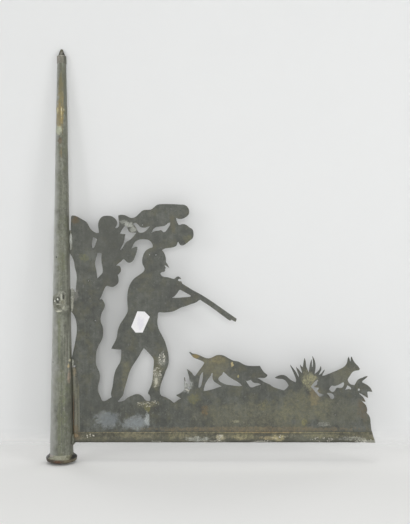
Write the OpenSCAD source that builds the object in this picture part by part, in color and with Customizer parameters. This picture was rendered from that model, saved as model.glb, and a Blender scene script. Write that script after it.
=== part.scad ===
// Hunter weathervane: a cut zinc sheet soldered to a tapered spire that turns on a fixed spindle.
// The spire's axis is Z, the sheet lies in the XZ plane, and z = 0 is the spindle's lower end.

/* [Spire] */
// Outer diameter of the spire at its foot
spire_foot_d = 46.9; // [42:0.1:54]
// Outer diameter where the taper gets a little steeper
spire_knee_d = 22.2; // [20:0.1:30]
// Height of that place
spire_knee_z = 704; // [650:1:740]
// Outer diameter at the top, inside the ferrule
spire_top_d = 17.2; // [14:0.1:19]
// Height of the spire's top
spire_top_z = 808; // [790:1:840]
// Thickness of the rolled zinc of the spire
spire_wall = 1; // [0.6:0.1:1.5]
// Width of the soldered seam down the front
seam_w = 2.8; // [2:0.2:5]
// Thickness of the seam on the spire's face
seam_t = 0.6; // [0.3:0.1:1]
// Distance of the seam's left edge from the spire's middle
seam_x = 2.4; // [0:0.1:5]

/* [Rolled foot] */
// Diameter of the rolled bead's section
bead_d = 11; // [10:0.2:13]
// Thickness of the bead's zinc
bead_wall = 1; // [0.6:0.1:1.4]
// How far the bead's centre line stands outside the spire's face
bead_offset = 1.55; // [1:0.05:2.5]
// Height of the bead's underside
bead_z = 3.2; // [2:0.1:8]
// Height of the solder fillet above the spire's foot
fillet_h = 4.5; // [3:0.5:6]
// Thickness of the solder that has run over the top of the bead
rim_cover_t = 0.9; // [0.6:0.1:1.5]
// Height of that solder's lip above the middle of the bead
rim_cover_lip = 2.3; // [1.5:0.1:3]

/* [Tip] */
// Length of the ferrule over the spire's top
ferrule_l = 11; // [8:0.5:20]
// Height of the ferrule's top face above the spire's top
ferrule_cap = 5; // [3:0.5:8]
// Thickness of the ferrule
ferrule_wall = 0.45; // [0.4:0.05:1]
// Width of the sloped shoulder at the ferrule's top
ferrule_shoulder = 2.2; // [1:0.1:3]
// Lower diameter of the cast cone
cone_base_d = 13.5; // [11:0.5:14]
// Upper diameter of the cast cone
cone_top_d = 4.5; // [3:0.5:9]
// Height of the cast cone
cone_h = 12; // [8:0.5:20]
// Diameter of the cone's spigot
spigot_d = 6; // [4:0.5:8]
// Length of the spigot below the ferrule's top face
spigot_l = 14; // [8:1:20]

/* [Figure sheet] */
// Thickness of the cut zinc sheet
sheet_t = 1; // [0.8:0.1:1.5]
// Diameter of the pinholes in the sheet
pinhole_d = 2.2; // [1.5:0.1:3]
// Diameter of the hole in the bramble leaf
leaf_hole_d = 4.6; // [3:0.1:6]
// Thickness of the blank paper label
label_t = 0.3; // [0.2:0.05:0.5]

/* [Bottom rail] */
// Height of the rail's underside
rail_z = 39.7; // [38:0.1:44]
// Height of the rail
rail_h = 20.8; // [18:0.1:26]
// Diameter of the rail's rolled lower edge
rail_roll_d = 8.6; // [7.6:0.1:11]
// Thickness of the rail's zinc
rail_wall = 0.9; // [0.6:0.1:1.2]
// Place of the rail's lower right corner
rail_end_x = 626.5; // [622:0.5:640]
// Lean of the rail's end face, in degrees from upright
rail_end_lean = 15.4; // [5:0.1:25]

/* [Edge channel] */
// Diameter of the edge channel's roll
edge_roll_d = 7.4; // [6:0.1:9]
// Thickness of the edge channel's zinc
edge_wall = 0.7; // [0.5:0.1:1]
// Width of the edge channel, roll and flange together
edge_w = 14; // [12:0.5:18]
// Height of the edge channel's top
edge_top_z = 190; // [160:1:194]
// Height over which the flange narrows at the top
edge_taper_h = 36; // [20:1:50]

/* [Spindle] */
// Outer diameter of the steel pipe
pipe_od = 17.2; // [13:0.1:19]
// Inner diameter of the steel pipe
pipe_id = 12.6; // [9:0.1:12.8]
// Height of the pipe's top
pipe_h = 560; // [480:1:600]
// Length of the pivot cap's skirt down the pipe
skirt_l = 30; // [15:1:50]
// Thickness of the pivot cap's skirt
skirt_t = 2; // [1.5:0.1:2.4]
// Thickness of the pivot cap above the pipe
collar_h = 6; // [4:0.5:10]
// Height of the pivot's cone
pivot_h = 16; // [12:0.5:24]
// Diameter of the pivot's rounded tip
pivot_tip_d = 6; // [4:0.5:8]

/* [Bearings] */
// Free play between the pivot and its cup
cup_play = 0.3; // [0.2:0.05:0.4]
// Outer diameter of the pivot cup
cup_d = 16; // [14:0.5:18]
// Height of the metal above the cup's hollow
cup_crown = 5; // [3:0.5:8]
// Thickness of the bridge disc that holds the cup
bridge_t = 2; // [1.5:0.5:4]
// Radial play between the guide bush and the pipe
bush_play = 0.08; // [0.05:0.01:0.1]
// Radial thickness of the guide bush
bush_wall = 3; // [2:0.5:4]
// Length of the guide bush
bush_l = 24; // [16:1:40]
// Width and thickness of the guide bush's flange
bush_flange = 2.4; // [1.5:0.1:3]
// Height of the guide plate's underside
guide_z = 30; // [28:1:60]
// Thickness of the guide plate
guide_t = 2; // [1.5:0.5:4]

/* [Solder] */
// Gap between soldered pieces
seat = 0.05; // [0.02:0.01:0.1]
// Greatest radius of the solder beads beside the spire
bead_r = 3.6; // [3:0.1:4.5]
// Thickness of the solder patch on the spire, above the seam
patch_t = 1.5; // [1:0.1:2]
// Thickness of the solder left in the patch's pits
patch_floor = 0.4; // [0.2:0.1:0.8]

/* [Hidden] */
$fn = 96;

zinc = "#6d6f63";
zinc_light = "#8b8d82";
solder_grey = "#a3a49a";
iron = "#4a3a2e";
steel = "#7b7d7e";
brass = "#a58a4c";
paper_white = "#efeee8";

// The bead, the spire's foot and the places that follow from them
bead_rad = bead_d / 2;
bead_mid_z = bead_z + bead_rad;
bead_ring_r = spire_foot_d / 2 + bead_offset;
foot_rise = sqrt(bead_rad * bead_rad - bead_offset * bead_offset);
spire_foot_z = bead_mid_z + foot_rise + seat;
rim_wire_r = bead_rad - bead_wall - seat;

// Solder over the bead: its outer radius in section, how far it stands out beside the spire at
// the top of the fillet, and the point on the bead where the fillet's slope starts
rim_cover_rad = bead_rad + rim_cover_t;
fillet_edge = 0.4;
fillet_r = bead_ring_r + 0.6 * bead_rad;
fillet_z = bead_mid_z + 0.8 * bead_rad;

// Outer radius of the spire at a height
function spire_r(z) = z < spire_knee_z
    ? lookup(z, [[spire_foot_z, spire_foot_d / 2], [spire_knee_z, spire_knee_d / 2]])
    : lookup(z, [[spire_knee_z, spire_knee_d / 2], [spire_top_z, spire_top_d / 2]]);
function spire_bore(z) = spire_r(z) - spire_wall;
spire_lean = atan((spire_foot_d - spire_knee_d) / 2 / (spire_knee_z - spire_foot_z));

// The ferrule is drawn over the spire's top and the cone stands on it
ferrule_z = spire_top_z - ferrule_l;
ferrule_bore = spire_r(ferrule_z) + seat;
ferrule_r = ferrule_bore + ferrule_wall;
ferrule_top_z = spire_top_z + ferrule_cap;
cone_z = ferrule_top_z + seat;

// Rail and edge channel
rail_roll_r = rail_roll_d / 2;
rail_mid_z = rail_z + rail_roll_r;
rail_wire_r = rail_roll_r - rail_wall - seat;
rail_top_z = rail_z + rail_h;
sheet_half = sheet_t / 2;
grip = sheet_half + seat;
sheet_bottom_z = rail_mid_z + rail_wire_r + 4 * seat;
edge_roll_r = edge_roll_d / 2;
edge_wire_r = edge_roll_r - edge_wall - seat;
edge_z = rail_top_z + seat;
edge_flange = edge_w - edge_roll_r;

// Pivot and cup
collar_z = pipe_h + seat;
pivot_z = collar_z + collar_h;
tip_mid_z = pivot_z + pivot_h;
tip_r = pivot_tip_d / 2;
cup_r = cup_d / 2;
cup_hollow_r = tip_r + cup_play;
cup_z = tip_mid_z - tip_r;
cup_top_z = tip_mid_z + cup_hollow_r + cup_crown;
bridge_z = cup_top_z - bridge_t - 2;
pipe_r = pipe_od / 2;
bush_r = pipe_r + bush_play + bush_wall;

// Smooth stretch through its points, two steps to each interval
steps = 2;
function at(p, i) = p[min(max(i, 0), len(p) - 1)];
function between(a, b, c, d, t) = 0.5 * (2 * b + (c - a) * t
    + (2 * a - 5 * b + 4 * c - d) * t * t + (3 * b - a - 3 * c + d) * t * t * t);
function smooth(p) = concat(
    [for (i = [0 : len(p) - 2]) for (k = [0 : steps - 1])
        between(at(p, i - 1), at(p, i), at(p, i + 1), at(p, i + 2), k / steps)],
    [p[len(p) - 1]]);
function smooth_all(stretches) = [for (s = stretches) each smooth(s)];

// Heights between which the sheet is soldered to the spire, at the middle and at the top,
// and the upper end of the joint above the edge channel
middle_joint_z = [302, 346];
top_joint_z = [418, 459.5];
lower_joint_z = 207.5;

// Edge of the sheet at a distance from the spire, where it meets the spire, and where it sits
// in the edge channel
function beside(d, z) = [spire_r(z) + d, z];
function on_spire(z) = beside(seat, z);
function in_channel(z) = [spire_r(z) + seat + edge_roll_r + edge_wire_r + 4 * seat, z];

// Gap between the spire and the crown of the tree above the top joint
crown_gap = 2.95;

// Edge of the tree where it stands clear of the spire, bottom to top, as
// [distance from the spire's face, height]
trunk_side = [[1.5, 214.5], [3.2, 221], [5.2, 229], [7, 238], [9, 248], [10.7, 257],
    [11.3, 266], [11, 276], [9.4, 286], [6.1, 293.5], [2.6, 299]];
stub_side = [[3.4, 343.8], [6.9, 342], [10.4, 340.8]];
bough_side = [[11, 350], [12.3, 360], [13.1, 370], [12, 380], [9.5, 389.5], [8.6, 398],
    [6.9, 405], [4.1, 411.5], [1.1, 416]];
crown_side = [[crown_gap, 475], [crown_gap + 0.9, 491.6]];
crown_foot = [[crown_gap, top_joint_z[1] + 1.5]];
function along_spire(side) = [for (p = side) beside(p[0], p[1])];

// Height at which the sheet's edge steps out of the edge channel and against the spire
channel_step = edge_top_z + 4;

// Outline of the figure sheet in stretches that meet at corners, clockwise, as [x, z].
// It starts at the lower left and runs up along the spire.
spire_side = [
    [in_channel(sheet_bottom_z), in_channel(channel_step)],
    [on_spire(channel_step), on_spire(lower_joint_z)],
    concat([on_spire(lower_joint_z + 0.5)], along_spire(trunk_side),
        [on_spire(middle_joint_z[0])]),
    concat([on_spire(middle_joint_z[1])], along_spire(stub_side)),
    concat(along_spire(bough_side), [on_spire(top_joint_z[0])]),
    concat([on_spire(top_joint_z[1])], along_spire(crown_foot))
];
crown = [
    along_spire(crown_side),
    [[21.5, 493.4], [25.5, 493.2], [30, 491.7], [35.5, 488.8], [41, 485.6], [46.5, 482.5],
        [50.5, 479], [53.5, 474], [56, 469], [60, 464], [65, 460.5], [70, 458.3], [74.6, 459]],
    [[74, 465], [73, 471], [73, 477.5], [74.8, 483.5], [78, 488.6], [82, 491.5], [88, 492.8],
        [95, 492.8], [100.5, 491.7], [104.5, 489], [108.3, 485.5], [110.7, 481], [110.9, 476.5],
        [109.2, 472.3], [106.6, 469.6]],
    [[108.8, 467.8], [112.4, 469.6], [114.6, 473], [114.9, 478], [113.9, 484], [113.2, 490.5]]
];
branch = [
    [[113.4, 493.4], [117, 494.7], [122, 494.7], [128, 493.3], [133.5, 490.6], [138, 488.8],
        [143, 488.8], [148, 491], [152.5, 494.8], [157, 499.3], [161, 502.8], [166, 504.4],
        [172, 504.6], [178, 505.2], [182.5, 508], [187, 512], [191.5, 514.9], [197, 516],
        [206, 516.3], [216, 516.2], [226, 516], [236, 515.3], [242.5, 515.2], [247.5, 513.8],
        [251.5, 510.5], [254.2, 506], [255, 500.8], [254, 495.8], [250.7, 492], [246.5, 489.2],
        [242, 487.1], [237.5, 486.4], [232.5, 487.2], [228.9, 488.7]],
    [[229.4, 484.5], [231.2, 479.2], [234, 474.8]],
    [[236.5, 474.6], [240.5, 476.1], [245.5, 476], [250, 474.2], [254, 470.8], [257.5, 468.4],
        [260.7, 466.5], [262.8, 463], [263.6, 457.5], [263.3, 451.5], [261.3, 447.3],
        [257, 444], [252.5, 440.2], [248.3, 436.7], [244, 434.2], [240, 433.4], [236.8, 434.7],
        [234.7, 437.8], [233.2, 440.8]],
    [[231.5, 438.8], [230.5, 435.2], [228.5, 432.2], [224.5, 430.4], [219.5, 429.1],
        [213, 428.3], [207, 427.5], [203, 425.9], [200.7, 423.9]]
];
head = [
    [[203.6, 420.5], [206.5, 415], [208.2, 409], [208.6, 404], [208.4, 400.5]],
    [[211, 396.8], [213.6, 391.8], [215.4, 388.2]],
    [[212.3, 390.4], [209, 392.8], [206, 394.3]],
    [[206.2, 392.4], [207.2, 390.4], [208.5, 388.3]],
    [[206.7, 387.3], [207, 386], [206.3, 385], [206.8, 383.5], [206, 381.6], [203.5, 380.6],
        [200, 379.9], [197.2, 377.6]]
];
rifle = [
    [[198.4, 374.4], [201.4, 371.8], [206, 370.4], [211.5, 370], [216.5, 368.6], [221, 367.2],
        [224.5, 366.7], [227, 368], [229.4, 370.3], [232.3, 371.5], [235.5, 370.5],
        [238, 368.2], [239, 366.2]],
    [[236, 366.6], [233.4, 366], [232.9, 364], [233.8, 362.4], [236.6, 361.9], [239.3, 361.6]],
    [[240.2, 359.2], [241.6, 356.8]],
    [[262, 344.2], [281, 333.9], [300, 321.7], [320, 307.9], [340, 293.7], [350, 287]],
    [[349.2, 284], [347.8, 280.6]],
    [[343.5, 282.6], [339.9, 284.8]],
    [[337.3, 283.1], [334.8, 283.8]],
    [[320, 294.5], [310, 302.1], [300, 309.5], [290, 316.2], [281, 322], [277, 325]]
];
hunter_front = [
    [[273.5, 323.2], [270, 320.4], [265, 318], [259, 316.2], [254, 314.3], [249, 312.4],
        [243, 310.6], [238, 309.1], [233, 306.5], [228, 303.8], [222.5, 301.6], [216, 300.2],
        [209, 299.5], [202.5, 299.5], [196.5, 300.2]],
    [[193.2, 299], [192.3, 295], [192.2, 290], [191.5, 285], [191.3, 280], [191.9, 274.5],
        [193.4, 268.5], [196, 262], [199.5, 255.5], [203, 249], [206.3, 242], [209, 234],
        [211.2, 226], [213, 217.5], [214, 209], [214.2, 202], [213.4, 196], [211.5, 190],
        [209, 184.5], [206.5, 178], [203.8, 170.5], [200.8, 162.5], [198.6, 156], [197, 149],
        [196.3, 142.5], [196.8, 136.5]],
    [[199.2, 133.3], [203.5, 131.2], [209, 129.3], [214, 126.5], [218.5, 123.7], [221.7, 121],
        [224.3, 118.9]]
];
grass = [
    [[228.5, 121.3], [233, 124.5], [238.3, 127.6]],
    [[234.5, 130.2], [231, 132.2], [228.8, 134.6]],
    [[232.5, 135.6], [236, 137.6], [239.5, 139.6], [243, 142.8], [245, 146.5]],
    [[245.5, 151], [244.9, 156], [245.3, 161], [244.7, 166], [245.3, 170.3]],
    [[246.8, 168.5], [247.1, 165.5], [248.6, 162.6], [247.5, 159.5], [247.7, 157]],
    [[250, 158.2], [252, 156.6], [254, 157.3], [256.2, 155.3]],
    [[256.3, 161], [255.2, 168], [253.8, 174], [252, 180], [250.2, 186.6]],
    [[253.5, 184.6], [257, 181.8], [260, 179], [262.3, 176], [263.9, 173.6], [265.6, 172]],
    [[268, 173.8], [271, 178], [274, 182.3], [277, 186], [280, 190.3], [283, 194.6],
        [285.3, 199.2]]
];
hound = [
    [[281, 202.2], [275, 204.8], [269, 207], [264, 209.3], [260.5, 212.5], [257.5, 216.5],
        [254.6, 220.3]],
    [[257.5, 220.3], [259.8, 218.4], [263, 217.2], [268, 216.3], [273, 214.9], [278, 212.8],
        [283, 210.4], [288, 208.5], [293, 207.8], [297.5, 208.4], [302, 210.2], [306, 212.3],
        [310, 214.1], [315, 214.7], [320, 214.3], [324.5, 213], [329, 210.6], [334, 207.8],
        [339, 205], [344, 203], [349, 202.2], [354, 201], [359, 198.3], [365, 195],
        [371, 193.3], [378, 192.5], [385, 192.3], [391, 192.4], [396.5, 192.8]],
    [[398.5, 189], [401, 184.8], [404.5, 180.3], [408, 177.3], [411, 175], [411.3, 173],
        [409.5, 170.8], [407, 169], [403, 168.3], [397, 168.8], [391.3, 168.3]],
    [[395.5, 166.3], [399, 164.2], [403, 161.5], [407, 159.3], [412, 157.3], [417, 154.8],
        [421, 151.8], [425.5, 149.3], [431, 147.6], [436, 146], [440.5, 144.5], [444.5, 143.9]],
    [[448.5, 146.5], [451.5, 149.8], [453.7, 153.3]],
    [[452.8, 155.8], [450.5, 159.5], [447.5, 163], [444, 165.5], [440, 166.6], [435, 166.7],
        [430, 167.3], [426.3, 169]],
    [[429.3, 171.2], [433, 172.8], [437.5, 174.1], [442, 174.4], [446.5, 173.4],
        [450.5, 171.2], [454, 168], [457.5, 165], [461.5, 162.5], [465, 160.8], [468.3, 160]]
];
reeds = [
    [[468.7, 164], [467.6, 169], [465.6, 174], [463.5, 179], [461.3, 184], [459.3, 188.5],
        [457.5, 192], [457.2, 195.2]],
    [[458.8, 193], [461.5, 189.7], [464.5, 186], [467.5, 181.7], [470, 177.5], [472, 173.5],
        [473.9, 169.4]],
    [[474.2, 174], [472.2, 179.5], [470.2, 184.5], [468.6, 190.8]],
    [[470.6, 189], [473, 186.5], [475.5, 183.5], [478, 180.6], [480.2, 178.3]],
    [[480.4, 181], [479, 185.5], [477.5, 190], [477, 195.5]],
    [[478.7, 193], [480.5, 190.7], [482.1, 190.2]],
    [[483, 195], [483.7, 200], [484.6, 205], [485.6, 208.7]],
    [[486.7, 206], [488, 201], [488.5, 195.5], [489, 191], [490.5, 188], [492, 184.3],
        [493.8, 180]],
    [[494.8, 185], [495.5, 190], [496.6, 196], [498.2, 202], [499.8, 206]],
    [[500.3, 203], [500.3, 197], [500.7, 191.8], [501.7, 190.4]],
    [[502.4, 196], [502.4, 202], [501.6, 208], [501.1, 212.8]],
    [[502.6, 210.5], [504.6, 207], [506.2, 202.5], [507.4, 197], [507.8, 191], [507.3, 185.5],
        [506.2, 180], [505.7, 176.5]],
    [[509, 178.5], [512, 181.5], [515, 185.2], [516.7, 189], [517.8, 192.4]],
    [[519.2, 190], [519.1, 185.5], [517.5, 181.5], [515.5, 178], [514.2, 174.4]],
    [[517, 175.6], [520.5, 179], [523, 182.5], [525.8, 185.3]],
    [[525.3, 182.5], [523.5, 179], [521.7, 175.7], [520.9, 172.6]]
];
fox = [
    [[524.5, 173], [528, 174.2], [532, 175.9], [537, 177.8], [542, 180], [547, 182],
        [552, 184.3], [556, 186], [560, 188], [563.5, 190], [567, 193], [569.7, 197],
        [571.2, 202], [572, 207], [573.8, 210.9]],
    [[575, 208.5], [576.3, 204.5], [577.6, 200.7]],
    [[578.1, 205.5], [578.3, 209], [579.6, 211.4]],
    [[580.6, 209.3], [582.2, 205.8], [584.2, 202], [586.7, 198.5], [589.3, 195.6],
        [592, 193], [594.5, 189.6], [596.4, 187]],
    [[595.4, 185], [593.4, 183.7], [590, 183.5], [586, 182.7], [583, 181.2], [580.5, 179],
        [578.4, 176], [576.4, 173], [574.1, 169.7], [572.6, 166.7], [572.1, 164.2],
        [573, 161.6], [574.8, 158.7], [576.6, 156.6], [579, 155.4], [582, 154.8],
        [585.5, 154]]
];
bramble = [
    [[587, 156.5], [589, 159.8], [590.6, 162.6], [593.2, 165.5], [596.5, 167.3], [600, 168.5],
        [604, 170.1], [608, 171.8], [612, 172.2]],
    [[610.5, 170], [607.6, 167.3], [604.6, 165], [601.8, 162.8], [600.4, 160.4]],
    [[603, 158.6], [607, 156.7], [611, 154.4], [615, 151.4], [618, 147.7], [620, 143.8],
        [621, 140.8]],
    [[617.5, 141], [614, 141.5], [611, 140.6]],
    [[611.5, 136], [612.4, 132], [612.3, 128.6]],
    [[610, 129.6], [607, 131.5], [603, 134], [599, 136.7], [594.3, 138.4]],
    [[598.5, 134], [602, 131], [604.3, 128], [606, 124.8], [607.5, 121.4]],
    [[605.5, 120.9], [603.2, 121.6], [600.4, 122.8]],
    [[603, 119.6], [605.7, 117.3], [608, 114.4], [610, 110.5], [610.9, 106], [610.6, 102],
        [609.6, 99.3]],
    [[611.3, 97.4], [613.3, 95.2], [615.2, 92.4], [616.6, 89], [617.4, 84], [617.9, 78],
        [618.6, 72]]
];
rail_lean_x = tan(rail_end_lean);
function rail_end(z) = [rail_end_x - (z - rail_z) * rail_lean_x - 2 * seat, z];
right_end = [[rail_end(rail_top_z + 5), rail_end(sheet_bottom_z)]];
outline = smooth_all(concat(spire_side, crown, branch, head, rifle, hunter_front, grass, hound,
    reeds, fox, bramble, right_end));

// Openings cut inside the outline, each closed on itself
trunk_slot = [
    [[71.5, 418.2], [79.4, 418.5], [79.4, 412], [79.3, 405], [80, 398], [81.2, 392],
        [82.1, 386], [82, 380.5], [80, 376.5], [77, 373.5], [74, 370.3], [71.4, 367.4]],
    [[70.6, 372], [70.1, 378], [69.1, 385], [67.5, 391], [66.6, 397], [67.5, 403],
        [69, 409], [70.5, 413.8]]
];
trunk_notch = [
    [[62.6, 449.8], [66, 449.4], [70.8, 446]],
    [[69, 440], [67, 434], [64.2, 428.6]],
    [[61.4, 428.6], [60.6, 434], [61, 440], [61.8, 446]]
];
branch_gap_left = [
    [[117.2, 423.8], [118.6, 428.6], [121.2, 433.6], [123.4, 438], [125, 442.5], [125.7, 447],
        [126.2, 451.5], [127.5, 456.2]],
    [[122, 456.3], [116.6, 457.4]],
    [[118.4, 461], [121, 465.5], [124.5, 470.5], [128.3, 473.8]],
    [[130.5, 470], [132.3, 465.5], [135, 461], [139.5, 459.2], [144.5, 458.9], [149.6, 459.2]],
    [[147, 456], [143.4, 451.4], [139.4, 447.2], [135.4, 443.8], [131.4, 442], [128.6, 439.6],
        [126.4, 436.4], [123.8, 432], [121.2, 427.6]]
];
branch_gap_middle = [
    [[143, 476.3], [145.2, 478.4], [149, 478.5], [152.2, 476], [155.2, 472.6], [158.3, 470.1],
        [162.5, 469.1], [167.5, 469.3], [172, 470.9], [176.3, 472]],
    [[173.6, 468], [170.2, 464.2], [166.2, 461.2], [162, 459.4], [157, 458.9],
        [153, 460.8]],
    [[151.2, 464], [149.6, 467.8], [147.2, 471.6]]
];
branch_gap_right = [
    [[179.2, 459.2], [181.4, 463.2], [184.4, 467.4], [188.2, 469.9], [194, 471],
        [200, 471.8], [205.6, 472.8], [209.4, 475.2], [213, 478.5], [217.4, 479.3]],
    [[216.4, 474], [213.2, 469], [210, 464.2], [207.2, 461.2], [205, 460.2], [202.4, 460.9],
        [200.4, 463], [197.6, 464], [193.6, 463.1], [188, 462.5], [184, 461.1]]
];
tree_gap_crown = [
    [[181.2, 429.2], [182.1, 433], [181, 437], [178.5, 440.7], [175, 443.5], [171, 445.4],
        [166, 446.1], [160, 446.1], [154, 445], [149.4, 442.6], [146.6, 440.2], [144, 436.8],
        [142, 432.4], [139.6, 427.6]],
    [[143, 428.5], [147, 431], [151.4, 430.6]],
    [[151.3, 426], [150, 420.5], [147.8, 414.5], [145.5, 408], [143, 403.5], [140, 400.4],
        [136, 398.9], [132.4, 399.3], [129.4, 401.3], [126.8, 404], [124, 405.9],
        [121.6, 405], [119, 402], [115.5, 399], [112, 396.6], [109.3, 393.3]]
];
tree_gap_trunk = [
    [[112, 393], [115.2, 392.3], [117.7, 389.8], [118.6, 385.8], [118, 381.2], [115.4, 377.6],
        [112, 374.2]],
    [[113.2, 370], [113.8, 365], [113.3, 360], [111, 356], [107, 352.6], [102.5, 350.4],
        [97, 350.8], [92, 352.5], [88.2, 351.4], [85.5, 347], [83, 341], [80.5, 334.6],
        [78, 329], [75.3, 325.2]],
    [[78.5, 325.8], [81.3, 325.3], [83.2, 322], [85.5, 318], [86.3, 313.5], [85, 308],
        [82.6, 303], [80.4, 298.6], [78.8, 293.6], [78, 288], [78.2, 281.5], [79.8, 276],
        [82, 271], [82.8, 264.5], [82.8, 257], [82, 250.4], [80, 244.4], [77, 239],
        [74, 233.8], [71.4, 228], [69.6, 222], [68.7, 214], [68.5, 206], [68.4, 200],
        [69.4, 194], [71.6, 188], [74.4, 182.3], [76, 177], [76.3, 171], [75.6, 164],
        [74, 157.4], [72.8, 151.4], [72.6, 145.4], [73.4, 140], [75.6, 134.8],
        [78, 129.6], [79.9, 124.4], [82.6, 122.5], [86, 122.4], [90.5, 124.2],
        [95.2, 127.2], [99.8, 130]]
];
tree_gap_leg = [
    [[99, 133.6], [98.7, 137.5], [100, 144], [101.7, 152], [103, 160], [104, 168.5],
        [105.6, 177], [108.2, 185], [112, 192], [115.8, 198], [118.2, 204.5], [118.9, 213],
        [119, 225.3]],
    [[112, 225.5], [105.5, 226], [99.4, 227.2]],
    [[101.4, 232], [104.2, 237], [107.2, 242.2], [109.6, 248], [111, 254.4], [112, 262],
        [114.2, 270], [118, 278], [123, 285.6], [128, 293.2], [131, 299], [132.1, 304.6],
        [131.9, 312], [131.2, 320], [131.1, 330], [132, 340], [134, 349], [137, 356.4],
        [141, 363], [146, 368.4], [152, 372.6], [158, 376.6], [163, 380.6], [165.2, 384],
        [165.5, 388], [164, 391.8], [161.7, 396.2], [160.9, 402], [161.5, 408.6],
        [163, 414], [165, 418.4], [167.4, 422], [170.6, 424.9], [174.6, 427.2],
        [178, 428.5]]
];
legs_gap = [
    [[164.2, 228.2], [168, 224.6], [173, 219.6], [178, 214.2], [182, 209.4], [184, 205],
        [184.3, 199], [183.5, 190], [182.7, 180], [182.1, 170.5], [181, 162], [179, 154],
        [176.2, 147.4], [173.5, 141.5], [172.8, 137.2], [175.8, 134.4]],
    [[177, 130.6], [177.1, 126], [176.6, 122.4]],
    [[173.4, 122], [170.2, 122.8], [167.2, 124.8], [164.4, 128.4], [161, 132.2],
        [156.2, 135.2], [151, 136.2], [146, 135.5], [141, 133.4], [136, 131.2], [131.4, 128.8],
        [128, 125.8], [124.6, 123.1], [120, 121.7], [115, 120.8], [111.6, 121.7]],
    [[114.4, 124], [118, 128], [121.4, 132.2], [123.7, 137], [124.9, 143.4], [127, 151.6],
        [130, 161.4], [133, 171.8], [136, 180.8], [139.2, 188.2], [144.2, 196.4],
        [150, 205], [155.2, 213.4], [160, 222]]
];
arm_gap = [
    [[220.6, 328.8], [224.6, 331.2], [228.4, 334.8], [232, 339.6], [234.4, 343.4], [237, 344.9]],
    [[241, 342.9], [247, 339.6], [253.4, 336], [258.2, 333.2], [257.4, 331.2]],
    [[251, 330.3], [244, 329.9], [236, 329.2], [228, 328.6]]
];
grass_gap = [
    [[282.7, 180.4], [282.2, 170.6], [280.7, 161], [278.8, 153.4], [276.4, 149]],
    [[273.2, 149.6], [274, 156], [275.3, 165], [277, 173], [280, 178.6]]
];
grass_pale_gap = [[[253.2, 151.4], [255.8, 150.4], [257.4, 147.6], [256, 144.8], [253.6, 146.4]]];
hound_hind_gap = [
    [[299, 177.2], [302.3, 178.4]],
    [[301.5, 171.4], [302, 166.6], [304.2, 162.2], [307.4, 159.6], [311.4, 157], [316, 154.4],
        [320, 151.8]],
    [[316.4, 150.6], [310.4, 148.7], [303.6, 146.4], [297, 144.6], [290.4, 143.1], [284, 142.2]],
    [[284.2, 146], [285.4, 151], [287.2, 156.4], [289.6, 161], [292.4, 165.4], [295.4, 169.6],
        [298, 173.4]]
];
hound_belly_gap = [
    [[323.4, 180.7], [327, 177.8], [330.2, 174.9], [334, 171.4], [338, 168.8], [343, 165.7],
        [348, 163], [353, 159.8], [357.6, 156.2], [360.6, 152.8]],
    [[354, 151.9], [346, 152.8], [338, 153.9], [330.4, 154.9], [325.2, 156.6], [320.2, 159],
        [316.2, 161.6], [313.6, 165], [313.7, 168.4], [316.2, 171.6], [320.4, 174.6]]
];
hound_chest_gap = [
    [[368.8, 162.2], [373, 163.2], [377.4, 164.6]],
    [[380.2, 162.4], [383, 159.7], [387, 158.5], [392.6, 158.2], [398.6, 155.6]],
    [[393.6, 153.9], [388, 152], [383, 150.1], [379.6, 149.8], [376.4, 150.8], [374, 154.4],
        [371.2, 158.6]]
];
fox_chest_gap = [
    [[512.3, 165.2], [512.4, 163], [511, 160.4], [511, 157], [509.6, 154.4], [504.2, 151.6]],
    [[508.4, 149.6], [512.4, 149.2], [514.6, 147.6], [513.2, 145.4], [511.6, 143],
        [513.4, 140], [516, 137.7], [519.4, 136.4], [524.6, 134.2]],
    [[520.4, 132.3], [517, 131], [514.4, 131.6], [511.8, 134.4], [509, 138.2], [506, 142.2],
        [503.4, 145.6], [500.6, 148.6], [498.3, 151.4]],
    [[501.2, 155.2], [504.4, 159.2], [508, 163]]
];
fox_belly_gap = [
    [[534.4, 146], [537, 150], [540, 153.2], [545, 152.6], [550, 153.4], [554.2, 155.2],
        [558.2, 157.2], [561.2, 159.2], [564.4, 159.6]],
    [[565, 156.6], [564, 153], [562, 150], [559, 148.4], [555, 148.4], [551, 148.9],
        [548.6, 147.4], [547, 144.4], [545, 141.6], [542, 140.4], [539, 141.4],
        [536.4, 143.8]]
];
fox_leg_gap = [
    [[529.8, 138.2], [533.2, 138.9], [537, 138.2], [541, 136.6], [544, 134.2], [544.9, 131],
        [544, 128], [541.6, 126.2], [538.6, 126.8], [536.6, 129.6], [534.6, 133]]
];
fox_foot_gap = [
    [[571, 153.6], [574.4, 152.2], [577, 150.2], [579.2, 147.4]],
    [[577.6, 145.4], [574.6, 146.6], [571.6, 145.8], [566.4, 144.6]],
    [[568, 147.2], [569.4, 149.4]]
];
OPENINGS = [
    trunk_slot, trunk_notch, branch_gap_left, branch_gap_middle, branch_gap_right,
    concat(tree_gap_crown, tree_gap_trunk, tree_gap_leg), legs_gap, arm_gap, grass_gap,
    grass_pale_gap, hound_hind_gap, hound_belly_gap, hound_chest_gap, fox_chest_gap,
    fox_belly_gap, fox_leg_gap, fox_foot_gap
];
pinholes = [[53.6, 362.4], [67.4, 283.2], [161.6, 474.4], [175.6, 415.2], [188.4, 414.6],
    [547, 94.4]];
leaf_hole = [594.2, 145.2];

// Label outline
label = [[151.5, 302], [166, 301.2], [176.2, 291], [162, 259.4], [148, 259.4], [139, 270.6]];

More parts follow.
